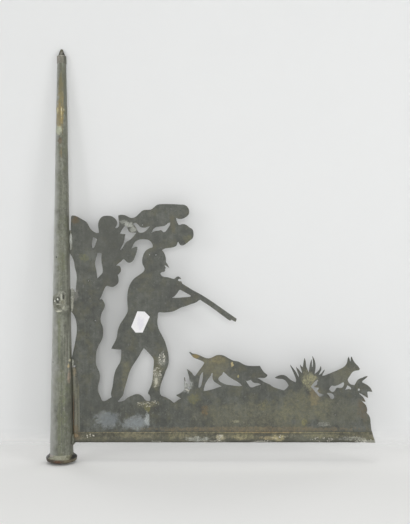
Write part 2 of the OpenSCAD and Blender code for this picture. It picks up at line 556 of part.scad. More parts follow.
// Outline of the solder patch on the spire's front, and the pits in it
patch = [[-15, 332], [-10, 336], [-5, 339.5], [1, 343], [7, 343], [10.6, 338.5], [11.5, 330],
    [11.5, 322], [12.5, 316], [10.5, 309.5], [5, 303.5], [-2.4, 300.5], [-8.2, 302.2],
    [-12.4, 308], [-14.6, 316], [-15.4, 324]];
PITS = [
    [[-9.4, 318.5], [-8.6, 311], [-5, 307.2], [1, 307], [4, 310.5], [3.8, 317.5], [-3, 319]],
    [[-9.6, 330.5], [-5, 332.4], [-0.8, 330], [-1, 321.5], [-5, 320.2], [-9.4, 322]],
    [[5, 339.5], [8.8, 338.5], [8.4, 326.5], [5.4, 325.2]]
];

// Solid of the spire grown by a gap, from below the foot to above the top
module spire_solid(gap) {
    r_foot = spire_foot_d / 2 + gap;
    r_knee = spire_knee_d / 2 + gap;
    r_top = spire_top_d / 2 + gap;
    rotate_extrude() polygon([[0, spire_foot_z - 20], [r_foot, spire_foot_z - 20],
        [r_foot, spire_foot_z], [r_knee, spire_knee_z], [r_top, spire_top_z], [0, spire_top_z]]);
}

// Flat shape in the XZ plane made into a slab from y0 to y1
module slab(y0, y1) {
    translate([0, y1, 0]) rotate([90, 0, 0]) linear_extrude(y1 - y0) children();
}

// Folded channel, drawn upright: a roll round a wire, and two flanges that grip the sheet
module channel(run, roll_r, wall, reach) {
    neck = roll_r + wall + 2;
    difference() {
        union() {
            cylinder(h = run, r = roll_r);
            linear_extrude(run) polygon([[-roll_r * 0.9, 0], [-roll_r * 0.9, roll_r * 0.4],
                [-grip - wall, neck], [-grip - wall, reach], [grip + wall, reach],
                [grip + wall, neck], [roll_r * 0.9, roll_r * 0.4], [roll_r * 0.9, 0]]);
        }
        translate([0, 0, -1]) cylinder(h = run + 2, r = roll_r - wall);
        translate([-grip, 0, -1]) cube([2 * grip, reach + 1, run + 2]);
    }
}

// Spindle-shaped bead of solder that stands on end, its height taken from z0 to z1
module solder_bead(x, z0, z1, r) {
    mid = (z0 + z1) / 2;
    half = (z1 - z0) / 2;
    n = 8;
    translate([x, 0, mid]) rotate_extrude($fn = 48) polygon([
        for (i = [-n : n]) [r * sqrt(1 - pow(i / n, 2)), half * i / n]
    ]);
}

// Takes the spire out of a solder shape, and the sheet's thickness between two heights
module around_joint(low, high) {
    difference() {
        children();
        spire_solid(seat);
        translate([0, -grip, low]) cube([60, 2 * grip, high - low]);
    }
}

// Steel pipe that the roof holds and the vane turns round
module spindle_pipe() {
    color(steel) difference() {
        cylinder(h = pipe_h, d = pipe_od);
        translate([0, 0, -1]) cylinder(h = pipe_h + 2, d = pipe_id);
    }
}

// Turned steel cap with a rounded point, driven over the pipe's top
module pivot_point() {
    color(steel) {
        difference() {
            translate([0, 0, pipe_h - skirt_l])
                cylinder(h = skirt_l + seat + collar_h, r = pipe_r + skirt_t);
            translate([0, 0, pipe_h - skirt_l - 1])
                cylinder(h = skirt_l + 1 + seat, r = pipe_r + seat);
        }
        translate([0, 0, pivot_z]) cylinder(h = pivot_h, r1 = pipe_r - 1, r2 = tip_r);
        translate([0, 0, tip_mid_z]) sphere(r = tip_r);
    }
}

// Brass cup that bears on the point
module pivot_cup() {
    color(brass) difference() {
        translate([0, 0, cup_z]) cylinder(h = cup_top_z - cup_z, r = cup_r);
        translate([0, 0, tip_mid_z]) sphere(r = cup_hollow_r);
        translate([0, 0, cup_z - 1])
            cylinder(h = tip_r + 1, r1 = cup_hollow_r + 2, r2 = cup_hollow_r);
    }
}

// Disc soldered across the spire, with the cup through its middle
module pivot_bridge() {
    color(zinc_light) difference() {
        translate([0, 0, bridge_z]) cylinder(h = bridge_t, r1 = spire_bore(bridge_z) - seat,
            r2 = spire_bore(bridge_z + bridge_t) - seat);
        translate([0, 0, bridge_z - 1]) cylinder(h = bridge_t + 2, r = cup_r + seat);
    }
}

// Disc near the foot that carries the guide bush
module guide_plate() {
    color(zinc_light) difference() {
        translate([0, 0, guide_z]) cylinder(h = guide_t, r1 = spire_bore(guide_z) - seat,
            r2 = spire_bore(guide_z + guide_t) - seat);
        translate([0, 0, guide_z - 1]) cylinder(h = guide_t + 2, r = bush_r + seat);
    }
}

// Brass bush that runs on the pipe, with a flange under the plate
module guide_bush() {
    flange_z = guide_z - bush_flange - seat;
    color(brass) difference() {
        union() {
            translate([0, 0, flange_z]) cylinder(h = bush_flange, r = bush_r + bush_flange);
            translate([0, 0, flange_z]) cylinder(h = bush_l, r = bush_r);
        }
        translate([0, 0, flange_z - 1]) cylinder(h = bush_l + 2, r = pipe_r + bush_play);
    }
}

// Tapered tube rolled from zinc sheet
module spire_tube() {
    color(zinc) rotate_extrude() polygon([
        [spire_foot_d / 2 - spire_wall, spire_foot_z], [spire_foot_d / 2, spire_foot_z],
        [spire_knee_d / 2, spire_knee_z], [spire_top_d / 2, spire_top_z],
        [spire_top_d / 2 - spire_wall, spire_top_z], [spire_knee_d / 2 - spire_wall, spire_knee_z]
    ]);
}

// Strip in front of the spire that the seam takes up, grown by a gap
module seam_strip(gap) {
    low = spire_foot_z + fillet_h + 1 - gap;
    translate([seam_x - gap, -spire_foot_d, low])
        cube([seam_w + 2 * gap, spire_foot_d, ferrule_z - 1 + gap - low]);
}

// Soldered lap down the front of the spire
module spire_seam() {
    color(zinc_light) intersection() {
        difference() {
            spire_solid(seat + seam_t);
            spire_solid(seat);
        }
        seam_strip(0);
    }
}

// Ferrule drawn over the spire's top, with a sloped shoulder
module tip_ferrule() {
    hole_r = spigot_d / 2 + seat;
    shoulder_z = ferrule_top_z - ferrule_shoulder * 0.8;
    roof_z = ferrule_top_z - ferrule_shoulder - 0.6;
    color(zinc_light) rotate_extrude() polygon([
        [ferrule_bore, ferrule_z], [ferrule_r, ferrule_z], [ferrule_r, shoulder_z],
        [ferrule_r - ferrule_shoulder, ferrule_top_z], [hole_r, ferrule_top_z],
        [hole_r, roof_z], [ferrule_bore, roof_z]
    ]);
}

// Cast cone on the very top, with a spigot down through the ferrule
module tip_cone() {
    color("#4d4c46") {
        translate([0, 0, cone_z]) cylinder(h = cone_h, d1 = cone_base_d, d2 = cone_top_d);
        translate([0, 0, ferrule_top_z - spigot_l]) cylinder(h = spigot_l + seat, d = spigot_d);
    }
}

// Hollow zinc bead rolled round an iron ring at the foot
module base_rim() {
    color("#5a4a3b") rotate_extrude() translate([bead_ring_r, bead_mid_z]) difference() {
        circle(bead_rad);
        circle(bead_rad - bead_wall);
    }
}

// Iron ring inside the bead
module rim_wire() {
    color(iron) rotate_extrude() translate([bead_ring_r, bead_mid_z]) circle(rim_wire_r);
}

// Solder in the corner between the spire's foot and the bead, and over the top of the bead
module rim_solder() {
    color(solder_grey) difference() {
        union() {
            rotate_extrude() translate([bead_ring_r, bead_mid_z]) circle(rim_cover_rad);
            translate([0, 0, fillet_z]) cylinder(h = spire_foot_z + fillet_h - fillet_z,
                r1 = fillet_r, r2 = spire_foot_d / 2 + fillet_edge);
        }
        cylinder(h = bead_mid_z + rim_cover_lip, r = bead_ring_r + 2 * bead_rad);
        cylinder(h = spire_foot_z + 1, r = spire_foot_d / 2 + seat);
        spire_solid(seat);
        rotate_extrude() translate([bead_ring_r, bead_mid_z]) circle(bead_rad + seat);
    }
}

// The figure scene, cut from one zinc sheet
module silhouette_sheet() {
    color(zinc) slab(-sheet_half, sheet_half) difference() {
        polygon(outline);
        for (gap = OPENINGS) polygon(smooth_all(gap));
        for (p = pinholes) translate(p) circle(d = pinhole_d, $fn = 24);
        translate(leaf_hole) circle(d = leaf_hole_d, $fn = 32);
    }
}

// Places a section beside the spire, upright along its face
module beside_spire() {
    translate([spire_r(edge_z) + seat + edge_roll_r, 0, edge_z]) rotate([0, -spire_lean, 0])
        children();
}

// Folded channel on the sheet's left edge, its flange narrowed at the top
module edge_channel() {
    run = edge_top_z - edge_z;
    color(zinc_light) beside_spire() difference() {
        rotate([0, 0, -90]) channel(run, edge_roll_r, edge_wall, edge_flange);
        slab(-10, 10) polygon([[edge_flange + 1, run - edge_taper_h],
            [edge_flange, run - edge_taper_h], [edge_roll_r, run + 1], [edge_flange + 1, run + 1]]);
    }
}

// Iron wire in the roll of the edge channel
module edge_wire() {
    color(iron) beside_spire() cylinder(h = edge_top_z - edge_z, r = edge_wire_r);
}

// Everything left of the rail's sloping end
module left_of_end(back) {
    slab(-20, 20) polygon([[0, rail_z - 5], [rail_end_x + 5 * rail_lean_x - back, rail_z - 5],
        [rail_end_x - (rail_h + 5) * rail_lean_x - back, rail_top_z + 5], [0, rail_top_z + 5]]);
}

// Folded rail along the foot of the sheet
module bottom_rail() {
    color(zinc) intersection() {
        difference() {
            translate([0, 0, rail_mid_z]) rotate([90, 0, 90])
                channel(rail_end_x + 10, rail_roll_r, rail_wall, rail_top_z - rail_mid_z);
            spire_solid(seat);
        }
        left_of_end(0);
    }
}

// Iron wire rolled into the rail
module rail_wire() {
    start = spire_r(rail_mid_z) + 1;
    color(iron) intersection() {
        translate([start, 0, rail_mid_z]) rotate([0, 90, 0])
            cylinder(h = rail_end_x - start, r = rail_wire_r);
        left_of_end(1);
    }
}

// Solder run over the rail's right end
module rail_end_solder() {
    reach = 15;
    color(solder_grey) intersection() {
        difference() {
            translate([rail_end_x - reach, 0, rail_mid_z]) rotate([0, 90, 0])
                cylinder(h = reach + 10, r = rail_roll_r + 0.7);
            translate([0, 0, rail_mid_z]) rotate([0, 90, 0])
                cylinder(h = rail_end_x + 20, r = rail_roll_r + seat);
            translate([0, -20, rail_mid_z + rail_roll_r * 0.3]) cube([rail_end_x + 20, 40, 20]);
        }
        left_of_end(0);
    }
}

// Bead of solder at the top joint, closed over the joint's upper end
module solder_top() {
    low = top_joint_z[0] + 5;
    high = top_joint_z[1] + 2;
    color(solder_grey) difference() {
        around_joint(top_joint_z[0], high) union() {
            solder_bead(spire_r((low + high) / 2) + 2.2, low, high - 1, bead_r);
            translate([beside(crown_gap / 2, high)[0], 0, high]) sphere(r = 2.6);
        }
        translate([beside(crown_gap, high)[0] - seat, -grip, high - 1]) cube([10, 2 * grip, 10]);
    }
}

// Solder at the middle joint, thick beside the spire and closed over the joint's upper end
module solder_middle() {
    low = middle_joint_z[0] - 3.5;
    high = middle_joint_z[1] + 0.5;
    outer_low = (low + high) / 2 + 4;
    color(solder_grey) around_joint(low, high) union() {
        solder_bead(spire_r((low + high) / 2) + 2.6, low + 0.5, high + 2.5, bead_r + 0.6);
        solder_bead(spire_r((outer_low + high) / 2) + 6.4, outer_low, high, bead_r - 1);
    }
}

// Bead of solder over the top of the edge channel
module solder_lower() {
    low = edge_top_z + 0.6;
    high = lower_joint_z - 0.5;
    color(solder_grey) around_joint(edge_top_z + 3.9, high + 3)
        solder_bead(spire_r((low + high) / 2) + 2, low, high, bead_r - 0.4);
}

// Ragged patch of solder on the spire's front, run over the seam and pitted
module solder_patch() {
    over_seam = 2 * seat + seam_t;
    color(solder_grey) difference() {
        intersection() {
            spire_solid(over_seam + patch_t);
            slab(-spire_foot_d, -2) polygon(patch);
        }
        spire_solid(seat);
        intersection() {
            spire_solid(over_seam);
            seam_strip(seat);
        }
        difference() {
            for (pit = PITS) slab(-spire_foot_d, -2) polygon(pit);
            spire_solid(over_seam + patch_floor);
        }
    }
}

// Solder round the rail's left end, where the rail meets the spire
module solder_corner() {
    half = rail_roll_r + seat;
    side = half + 1.4;
    color(solder_grey) difference() {
        translate([spire_r(rail_mid_z), 0, 0]) union() {
            for (y = [-side, side]) translate([0, y, rail_z - 2])
                cylinder(h = rail_h - 2, r1 = 4, r2 = 2.4);
            translate([0, -side, rail_z - 1]) rotate([-90, 0, 0])
                cylinder(h = 2 * side, r = 3);
        }
        spire_solid(seat);
        translate([0, 0, rail_mid_z]) rotate([0, 90, 0]) cylinder(h = 60, r = half);
        translate([0, -half, rail_mid_z]) cube([60, 2 * half, rail_h]);
    }
}

// Blank paper label pasted on the hunter's coat
module paper_label() {
    color(paper_white) slab(-sheet_half - seat - label_t, -sheet_half - seat) polygon(label);
}

spindle_pipe();
pivot_point();
pivot_cup();
pivot_bridge();
guide_plate();
guide_bush();
spire_tube();
spire_seam();
tip_ferrule();
tip_cone();
base_rim();
rim_wire();
rim_solder();
silhouette_sheet();
edge_channel();
edge_wire();
bottom_rail();
rail_wire();
rail_end_solder();
solder_top();
solder_middle();
solder_lower();
solder_patch();
solder_corner();
paper_label();
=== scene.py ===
# %% [markdown]
# # Hunter weathervane in old zinc
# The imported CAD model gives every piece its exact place. This lesson gives the pieces their looks:
# zinc that has stood outdoors for a century, solder that was wiped on by hand, a rusty rolled rim
# and a paper label. The camera stands where it stood for the photograph.

# %% Load the frame
import math

import bmesh
import bpy
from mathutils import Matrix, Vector, noise


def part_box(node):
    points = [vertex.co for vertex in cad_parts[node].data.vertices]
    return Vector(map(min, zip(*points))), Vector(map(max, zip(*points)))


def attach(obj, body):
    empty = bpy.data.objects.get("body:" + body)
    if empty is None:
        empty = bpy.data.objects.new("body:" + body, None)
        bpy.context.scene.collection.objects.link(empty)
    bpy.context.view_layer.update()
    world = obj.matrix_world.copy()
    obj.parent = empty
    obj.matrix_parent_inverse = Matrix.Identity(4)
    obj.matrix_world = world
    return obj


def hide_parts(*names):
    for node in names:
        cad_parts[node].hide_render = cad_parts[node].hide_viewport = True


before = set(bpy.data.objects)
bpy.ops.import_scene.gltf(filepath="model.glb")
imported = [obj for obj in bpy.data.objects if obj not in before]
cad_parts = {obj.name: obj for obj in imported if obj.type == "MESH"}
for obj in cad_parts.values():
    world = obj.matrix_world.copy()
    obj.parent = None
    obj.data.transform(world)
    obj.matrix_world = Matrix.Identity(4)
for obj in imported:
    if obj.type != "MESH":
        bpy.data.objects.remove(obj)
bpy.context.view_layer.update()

# %% [markdown]
# ## Small tools
# Sizes are written in millimetres because the real vane is measured that way, and `mm` turns them
# to metres. Colours are written as the hex values that a picture editor shows, and `colour` turns
# them to the linear values that Blender mixes light with. `add` puts a node into a tree and joins
# it up in one line, so that a whole material reads from top to bottom.


# %% Millimetres, colours and nodes
def mm(*values):
    """One length, or several, from millimetres to metres."""
    metres = tuple(value / 1000 for value in values)
    return metres if len(metres) > 1 else metres[0]


def colour(hex_value):
    """A linear RGBA colour from an sRGB hex value such as #8a8b80."""
    parts = [int(hex_value[i : i + 2], 16) / 255 for i in (1, 3, 5)]
    linear = [c / 12.92 if c <= 0.04045 else ((c + 0.055) / 1.055) ** 2.4 for c in parts]
    return (*linear, 1)


def add(tree, kind, links=None, **settings):
    """Adds a node. links gives its inputs: a socket is joined, of a node the first output is,
    and a plain value is set."""
    made = tree.nodes.new(kind)
    stops = settings.pop("stops", None)
    for key, value in settings.items():
        setattr(made, key, value)
    for key, value in (links or {}).items():
        if isinstance(value, bpy.types.Node):
            value = value.outputs[0]
        if isinstance(value, bpy.types.NodeSocket):
            tree.links.new(value, made.inputs[key])
        else:
            made.inputs[key].default_value = value
    if stops:
        band = made.color_ramp.elements
        for place, (position, hue) in enumerate(stops):
            stop = band[place] if place < 2 else band.new(position)
            stop.position, stop.color = position, hue
    return made


def node_group(name, family, *wanted):
    """A node group with its sockets, each (name, kind, start value), or "out" as the value.

    Its inputs and its result are given back with it."""
    tree = bpy.data.node_groups.new(name, family + "NodeTree")
    for name, kind, value in wanted:
        side = "OUTPUT" if value == "out" else "INPUT"
        made = tree.interface.new_socket(name, in_out=side, socket_type="NodeSocket" + kind)
        if side == "INPUT" and value is not None:
            made.default_value = value
    given, result = tree.nodes.new("NodeGroupInput"), tree.nodes.new("NodeGroupOutput")
    return tree, given.outputs, result.inputs


def placed(name, data):
    """A new object for a mesh, a lamp or a camera, put into the scene."""
    made = bpy.data.objects.new(name, data)
    bpy.context.collection.objects.link(made)
    return made


def blank_material(name):
    """A new material and its empty node tree."""
    made = bpy.data.materials.new(name)
    made.use_nodes = True
    made.node_tree.nodes.clear()
    return made, made.node_tree


def coated(tree, hue, roughness, height, bump_mm, strength, metallic=0):
    """Ends a material: a surface with this colour, this roughness and a fine relief."""
    bump = add(tree, "ShaderNodeBump", {"Height": height, "Strength": strength,
        "Distance": mm(bump_mm)})
    shader = add(tree, "ShaderNodeBsdfPrincipled", {"Base Color": hue, "Metallic": metallic,
        "Roughness": roughness, "Normal": bump})
    add(tree, "ShaderNodeOutputMaterial", {"Surface": shader})


print("1 inch is", mm(25.4), "m")

# %% [markdown]
# ## Camera
# The photograph is taken square to the sheet, here from 1.6 m and about at the height of the
# middle of the vane. In perspective the rolled rim at the foot then shows from above, as it does
# there.

# %% Camera
EYE = mm(286.6, -1600, 400.4)   # square in front of the middle of the picture
LENS = 54.96                    # focal length in mm that frames the vane as the photograph does
eye = placed("camera", bpy.data.cameras.new("camera"))
eye.location = EYE
eye.rotation_euler = (math.radians(90), 0, 0)
eye.data.lens = LENS
bpy.context.scene.camera = eye
bpy.context.scene.view_settings.view_transform = "Standard"
print("camera", round(eye.location.length, 3), "m from the spindle's foot")

# %% [markdown]
# ## Floor and backdrop
# The vane stands on a pale floor, and a sheet of pale paper rises behind it in a tight curve and
# leans in until it almost touches the tip. That is why its shadow is narrow at the tip and spreads
# out lower down. The paper shows only from the front, and it fades out to both sides, at its top
# and at its foot. To light that bounces about it isn't there, so the back of the vane is lit as
# well as the front. Far out the floor fades into the colour of the air, so that no view has a
# horizon.


# %% Paper, floor and air
def seen_directly(tree):
    """1 for rays that show a surface in the picture, 0 for rays that only carry light."""
    path = add(tree, "ShaderNodeLightPath").outputs
    mirror = add(tree, "ShaderNodeMath", {0: path["Is Camera Ray"], 1: path["Is Glossy Ray"]},
        operation="MAXIMUM")
    return add(tree, "ShaderNodeMath", {0: mirror, 1: path["Is Transmission Ray"]},
        operation="MAXIMUM")


def product(tree, *factors):
    """The product of several sockets or numbers."""
    total = factors[0]
    for factor in factors[1:]:
        total = add(tree, "ShaderNodeMath", {0: total, 1: factor}, operation="MULTIPLY")
    return total


def ramp(tree, value, zero_at, one_at):
    """A soft step from 0 to 1 between two places in millimetres."""
    return add(tree, "ShaderNodeMapRange", {"Value": value, "From Min": mm(zero_at),
        "From Max": mm(one_at)}, interpolation_type="SMOOTHSTEP")


def pale_stage(name, profile, hex_value, over, mix):
    """A stage surface, drawn from its (y, z) profile in millimetres and pulled out along X.

    mix gives the share of the diffuse colour, and over is the shader that takes the rest."""
    mesh = bpy.data.meshes.new(name)
    points = [(x, mm(y), mm(z)) for y, z in profile for x in (-STAGE_HALF, STAGE_HALF)]
    faces = [(i, i + 1, i + 3, i + 2) for i in range(0, len(points) - 2, 2)]
    mesh.from_pydata(points, [], faces)
    mesh.shade_smooth()
    skin, tree = blank_material(name)
    matt = add(tree, "ShaderNodeBsdfDiffuse", {"Color": colour(hex_value)})
    other = add(tree, over, {"Color": colour(AIR)} if "Emission" in over else None)
    spot = add(tree, "ShaderNodeTexCoord").outputs["Object"]
    surface = add(tree, "ShaderNodeMixShader", {0: mix(tree, spot), 1: other, 2: matt})
    add(tree, "ShaderNodeOutputMaterial", {"Surface": surface})
    mesh.materials.append(skin)
    made = placed(name, mesh)


AIR = "#dfe0e0"                 # what shows beyond the floor and the paper
STAGE_HALF = 4                  # half the width of the stage, in m
TOUCH_Z = 850                   # where the paper would meet the plane of the sheet, in mm
FOOT_GAP = 62                   # how far behind the sheet it hangs at the foot
LEAN = 2.2                      # how much of the leaning in is left for the top
BEND = 50                       # radius of the curve where it turns into the floor
MIDDLE_X = 290                  # middle of the picture
PAPER_STEP = 25                 # height of one strip of the paper
PAPER_REACH = (850, 520)        # where the paper has gone, and where it begins to go
PAPER_TOP = (1150, 950)         # the same for its height
PAPER_FOOT = (6, 60)            # the same for its foot, so that no line shows on the floor
FLOOR_REACH = (1500, 650)       # the same for the floor


def paper_y(z):
    """How far behind the sheet the paper hangs at a height: it leans in more and more."""
    lean_in = FOOT_GAP * LEAN / TOUCH_Z
    return FOOT_GAP * (1 - (z / TOUCH_Z) ** LEAN) if z < TOUCH_Z else (TOUCH_Z - z) * lean_in


def paper_share(tree, spot):
    """The paper shows to the eye, from its front, near the vane and above the floor."""
    behind = add(tree, "ShaderNodeNewGeometry").outputs["Backfacing"]
    in_front = add(tree, "ShaderNodeMath", {0: seen_directly(tree), 1: behind},
        operation="SUBTRACT", use_clamp=True)
    way = add(tree, "ShaderNodeSeparateXYZ", {0: spot}).outputs
    sideways = add(tree, "ShaderNodeMath", {0: way["X"], 1: mm(MIDDLE_X)}, operation="SUBTRACT")
    sideways = add(tree, "ShaderNodeMath", {0: sideways}, operation="ABSOLUTE")
    return product(tree, in_front, ramp(tree, sideways, *PAPER_REACH),
        ramp(tree, way["Z"], *PAPER_FOOT), ramp(tree, way["Z"], *PAPER_TOP))


def floor_share(tree, spot):
    """The floor is all there for light, and fades far out for the eye."""
    away = add(tree, "ShaderNodeVectorMath", {0: spot, 1: mm(MIDDLE_X, 0, 0)},
        operation="DISTANCE").outputs["Value"]
    faded = product(tree, ramp(tree, away, FLOOR_REACH[1], FLOOR_REACH[0]), seen_directly(tree))
    return add(tree, "ShaderNodeMath", {0: 1, 1: faded}, operation="SUBTRACT")


turns = [step / 12 * math.pi / 2 for step in range(13)]
curve = [(FOOT_GAP - BEND + BEND * math.sin(t), BEND * (1 - math.cos(t))) for t in turns]
heights = range(BEND + PAPER_STEP, PAPER_TOP[0] + 2 * PAPER_STEP, PAPER_STEP)
rise = [(paper_y(z), z) for z in heights]
# Matt paper gives the soft pale ground that the dark cut-out reads against. The floor is matt too
# and lies 0.6 mm under the spindle's foot.
pale_stage("paper", curve + rise, "#dedfdf", "ShaderNodeBsdfTransparent", paper_share)
pale_stage("floor", [(-4000, -0.6), (4000, -0.6)], "#f0f0ee", "ShaderNodeEmission", floor_share)

air = bpy.data.worlds.new("studio air")
bpy.context.scene.world = air
air.use_nodes = True
tree = air.node_tree
tree.nodes.clear()
shown = add(tree, "ShaderNodeBackground", {"Color": colour(AIR), "Strength": 1})
glow = add(tree, "ShaderNodeBackground", {"Color": (1, 1, 1, 1), "Strength": 0.4})
both = add(tree, "ShaderNodeMixShader", {0: seen_directly(tree), 1: glow, 2: shown})
add(tree, "ShaderNodeOutputWorld", {"Surface": both})
print("the paper hangs", round(paper_y(400)), "mm behind the sheet at half height")


# %% Lamps
def lamp(name, place, aim, size, power):
    """A large soft panel that the camera doesn't see, in metres and watts."""
    panel = placed(name, bpy.data.lights.new(name, "AREA"))
    panel.data.shape = "SQUARE"
    panel.data.size = size
    panel.data.energy = power
    panel.location = place
    panel.rotation_euler = (Vector(aim) - Vector(place)).to_track_quat("-Z", "Y").to_euler()
    panel.visible_camera = False


middle = (0.28, 0, 0.4)
lamp("front left panel", (-1.35, -1.5, 0.8), middle, 0.7, 5)
lamp("front right panel", (1.9, -1.5, 0.8), middle, 0.7, 9.5)
lamp("fill over the camera", (0.29, -2.3, 0.6), middle, 0.9, 17)
lamp("overhead panel", (0.29, -0.45, 4.0), middle, 2.4, 38)
lamp("back left panel", (-1.3, 1.6, 0.5), middle, 1.0, 13)
lamp("back right panel", (1.9, 1.6, 0.5), middle, 1.0, 13)

# %% [markdown]
# ## The patina of old zinc
# Zinc turns grey outdoors as rain and air build a dull carbonate skin on it. Up close that skin is
# cloudy over a hand's width, mottled over a centimetre, grainy over a millimetre, and it runs down
# in streaks. One node group draws all of it from noise at about those sizes, and each piece gives
# the group its own three colours. A paint layer or a photo would be simpler, but this pattern goes
# right round every piece and has no seams.

# %% Patina group
CLOUD, MOSS_PATCH, STREAK, SPECK = 75, 26, 5, 4.5     # sizes of the pattern in mm
GRAIN = 1.8     # the real grain is finer: it is drawn as coarse as it needs to show
patina, given, result = node_group("patina", "Shader", ("Dark", "Color", None),
    ("Middle", "Color", None), ("Pale", "Color", None), ("Moss", "Color", None),
    ("Moss Share", "Float", 0.5), ("Mottle", "Float", 80.0), ("Streaks", "Float", 0.2),
    ("Sides", "Vector", (1, 1, 1)), ("Colour", "Color", "out"), ("Height", "Float", "out"),
    ("Tone", "Float", "out"))
spot = add(patina, "ShaderNodeTexCoord").outputs["Object"]
spot = add(patina, "ShaderNodeVectorMath", {0: spot, 1: given["Sides"]}, operation="MULTIPLY")
clouds = add(patina, "ShaderNodeTexNoise", {"Vector": spot, "Scale": 1 / mm(CLOUD), "Detail": 3})
mottle = add(patina, "ShaderNodeTexNoise", {"Vector": spot, "Scale": given["Mottle"], "Detail": 6,
    "Roughness": 0.62})
grain = add(patina, "ShaderNodeTexNoise", {"Vector": spot, "Scale": 1 / mm(GRAIN), "Detail": 3,
    "Roughness": 0.65})
drawn_out = add(patina, "ShaderNodeVectorMath", {0: spot, 1: (1, 1, 0.06)}, operation="MULTIPLY")
streaks = add(patina, "ShaderNodeTexNoise", {"Vector": drawn_out, "Scale": 1 / mm(STREAK),
    "Detail": 4, "Roughness": 0.6})
tone = 0
for layer, share in ((clouds, 0.34), (mottle, 0.46), (grain, 0.2)):
    tone = add(patina, "ShaderNodeMath", {0: layer, 1: share, 2: tone}, operation="MULTIPLY_ADD")
swing = add(patina, "ShaderNodeMath", {0: streaks, 1: 0.5}, operation="SUBTRACT")
tone = add(patina, "ShaderNodeMath", {0: swing, 1: given["Streaks"], 2: tone},
    operation="MULTIPLY_ADD")
below = add(patina, "ShaderNodeMapRange", {"Value": tone, "From Min": 0.38, "From Max": 0.5,
    "To Min": 1, "To Max": 0})
above = add(patina, "ShaderNodeMapRange", {"Value": tone, "From Min": 0.5, "From Max": 0.63})
green = add(patina, "ShaderNodeTexNoise", {"Vector": spot, "Scale": 1 / mm(MOSS_PATCH),
    "Detail": 7, "Roughness": 0.7})
green = add(patina, "ShaderNodeMapRange", {"Value": green, "From Min": 0.5, "From Max": 0.64})
green = product(patina, green, given["Moss Share"])
specks = add(patina, "ShaderNodeTexNoise", {"Vector": spot, "Scale": 1 / mm(SPECK), "Detail": 2,
    "Roughness": 0.5})
pale_specks = add(patina, "ShaderNodeMapRange", {"Value": specks, "From Min": 0.64,
    "From Max": 0.7, "To Max": 0.7})
dark_specks = add(patina, "ShaderNodeMapRange", {"Value": specks, "From Min": 0.36,
    "From Max": 0.3, "To Max": 0.6})
skin = given["Middle"]
for share, hue in ((below, "Dark"), (above, "Pale"), (green, "Moss"), (pale_specks, "Pale"),
                   (dark_specks, "Dark")):
    skin = add(patina, "ShaderNodeMix", {0: share, 6: skin, 7: given[hue]},
        data_type="RGBA").outputs[2]
patina.links.new(skin, result["Colour"])
patina.links.new(tone.outputs[0], result["Tone"])
height = add(patina, "ShaderNodeMath", {0: mottle, 1: 2, 2: grain}, operation="MULTIPLY_ADD")
patina.links.new(height.outputs[0], result["Height"])
print("patina group:", len(patina.nodes), "nodes")

# %% [markdown]
# ## Stains
# On top of the patina lie single marks that a maker would point at: flux burns beside the solder,
# rust run out of a seam, lichen on a leg. Some marks are painted shade and painted highlights
# instead: on the rail, the channel, the solder patch and the tip cone. Each is a line in a list with
# its place, its half width and half height in millimetres, its colour and its strength. A second
# group draws one of them, as an oval whose edge noise tears open, on the front or on the back only.

# %% Stain group
HOLE = 6     # size in mm of the gaps that break a stain up
stain_and_painted_light_mark, given, result = node_group("stain_and_painted_light_mark", "Shader", ("Under", "Color", None),
    ("Stain", "Color", None), ("Place", "Vector", (0, 0, 0)), ("Size", "Vector", (1, 1, 1)),
    ("Tear", "Float", 80.0), ("Strength", "Float", 0.5), ("Break", "Float", 0.5),
    ("Side", "Float", -1.0), ("Colour", "Color", "out"))
spot = add(stain_and_painted_light_mark, "ShaderNodeTexCoord").outputs["Object"]
apart = add(stain_and_painted_light_mark, "ShaderNodeVectorMath", {0: spot, 1: given["Place"]}, operation="SUBTRACT")
apart = add(stain_and_painted_light_mark, "ShaderNodeVectorMath", {0: apart, 1: given["Size"]}, operation="DIVIDE")
tear = add(stain_and_painted_light_mark, "ShaderNodeTexNoise", {"Vector": spot, "Scale": given["Tear"], "Detail": 7,
    "Roughness": 0.72})
tear = add(stain_and_painted_light_mark, "ShaderNodeVectorMath", {0: tear.outputs["Color"], 1: (0.5, 0.5, 0.5)},
    operation="SUBTRACT")
tear = add(stain_and_painted_light_mark, "ShaderNodeVectorMath", {0: tear, 1: (2.5, 0, 2.5), 2: apart},
    operation="MULTIPLY_ADD")
flat = add(stain_and_painted_light_mark, "ShaderNodeVectorMath", {0: tear, 1: (1, 0, 1)}, operation="MULTIPLY")
reach = add(stain_and_painted_light_mark, "ShaderNodeVectorMath", {0: flat}, operation="LENGTH")
mask = add(stain_and_painted_light_mark, "ShaderNodeMapRange", {"Value": reach.outputs["Value"], "From Min": 1.1,
    "From Max": 0.6}, interpolation_type="SMOOTHSTEP")
holes = add(stain_and_painted_light_mark, "ShaderNodeTexNoise", {"Vector": spot, "Scale": 1 / mm(HOLE), "Detail": 8,
    "Roughness": 0.85})
holes = add(stain_and_painted_light_mark, "ShaderNodeMapRange", {"Value": holes, "From Min": 0.56, "From Max": 0.46})
gaps = product(stain_and_painted_light_mark, holes, given["Break"])
kept = add(stain_and_painted_light_mark, "ShaderNodeMath", {0: 1, 1: gaps}, operation="SUBTRACT")
depth = add(stain_and_painted_light_mark, "ShaderNodeSeparateXYZ", {0: spot}).outputs["Y"]
facing = product(stain_and_painted_light_mark, depth, given["Side"])
facing = add(stain_and_painted_light_mark, "ShaderNodeMath", {0: facing, 1: 0}, operation="GREATER_THAN")
strength = product(stain_and_painted_light_mark, kept, given["Strength"], mask, facing)
mixed = add(stain_and_painted_light_mark, "ShaderNodeMix", {0: strength, 6: given["Under"], 7: given["Stain"]},
    data_type="RGBA")
stain_and_painted_light_mark.links.new(mixed.outputs[2], result["Colour"])
print("stain group:", len(stain_and_painted_light_mark.nodes), "nodes")
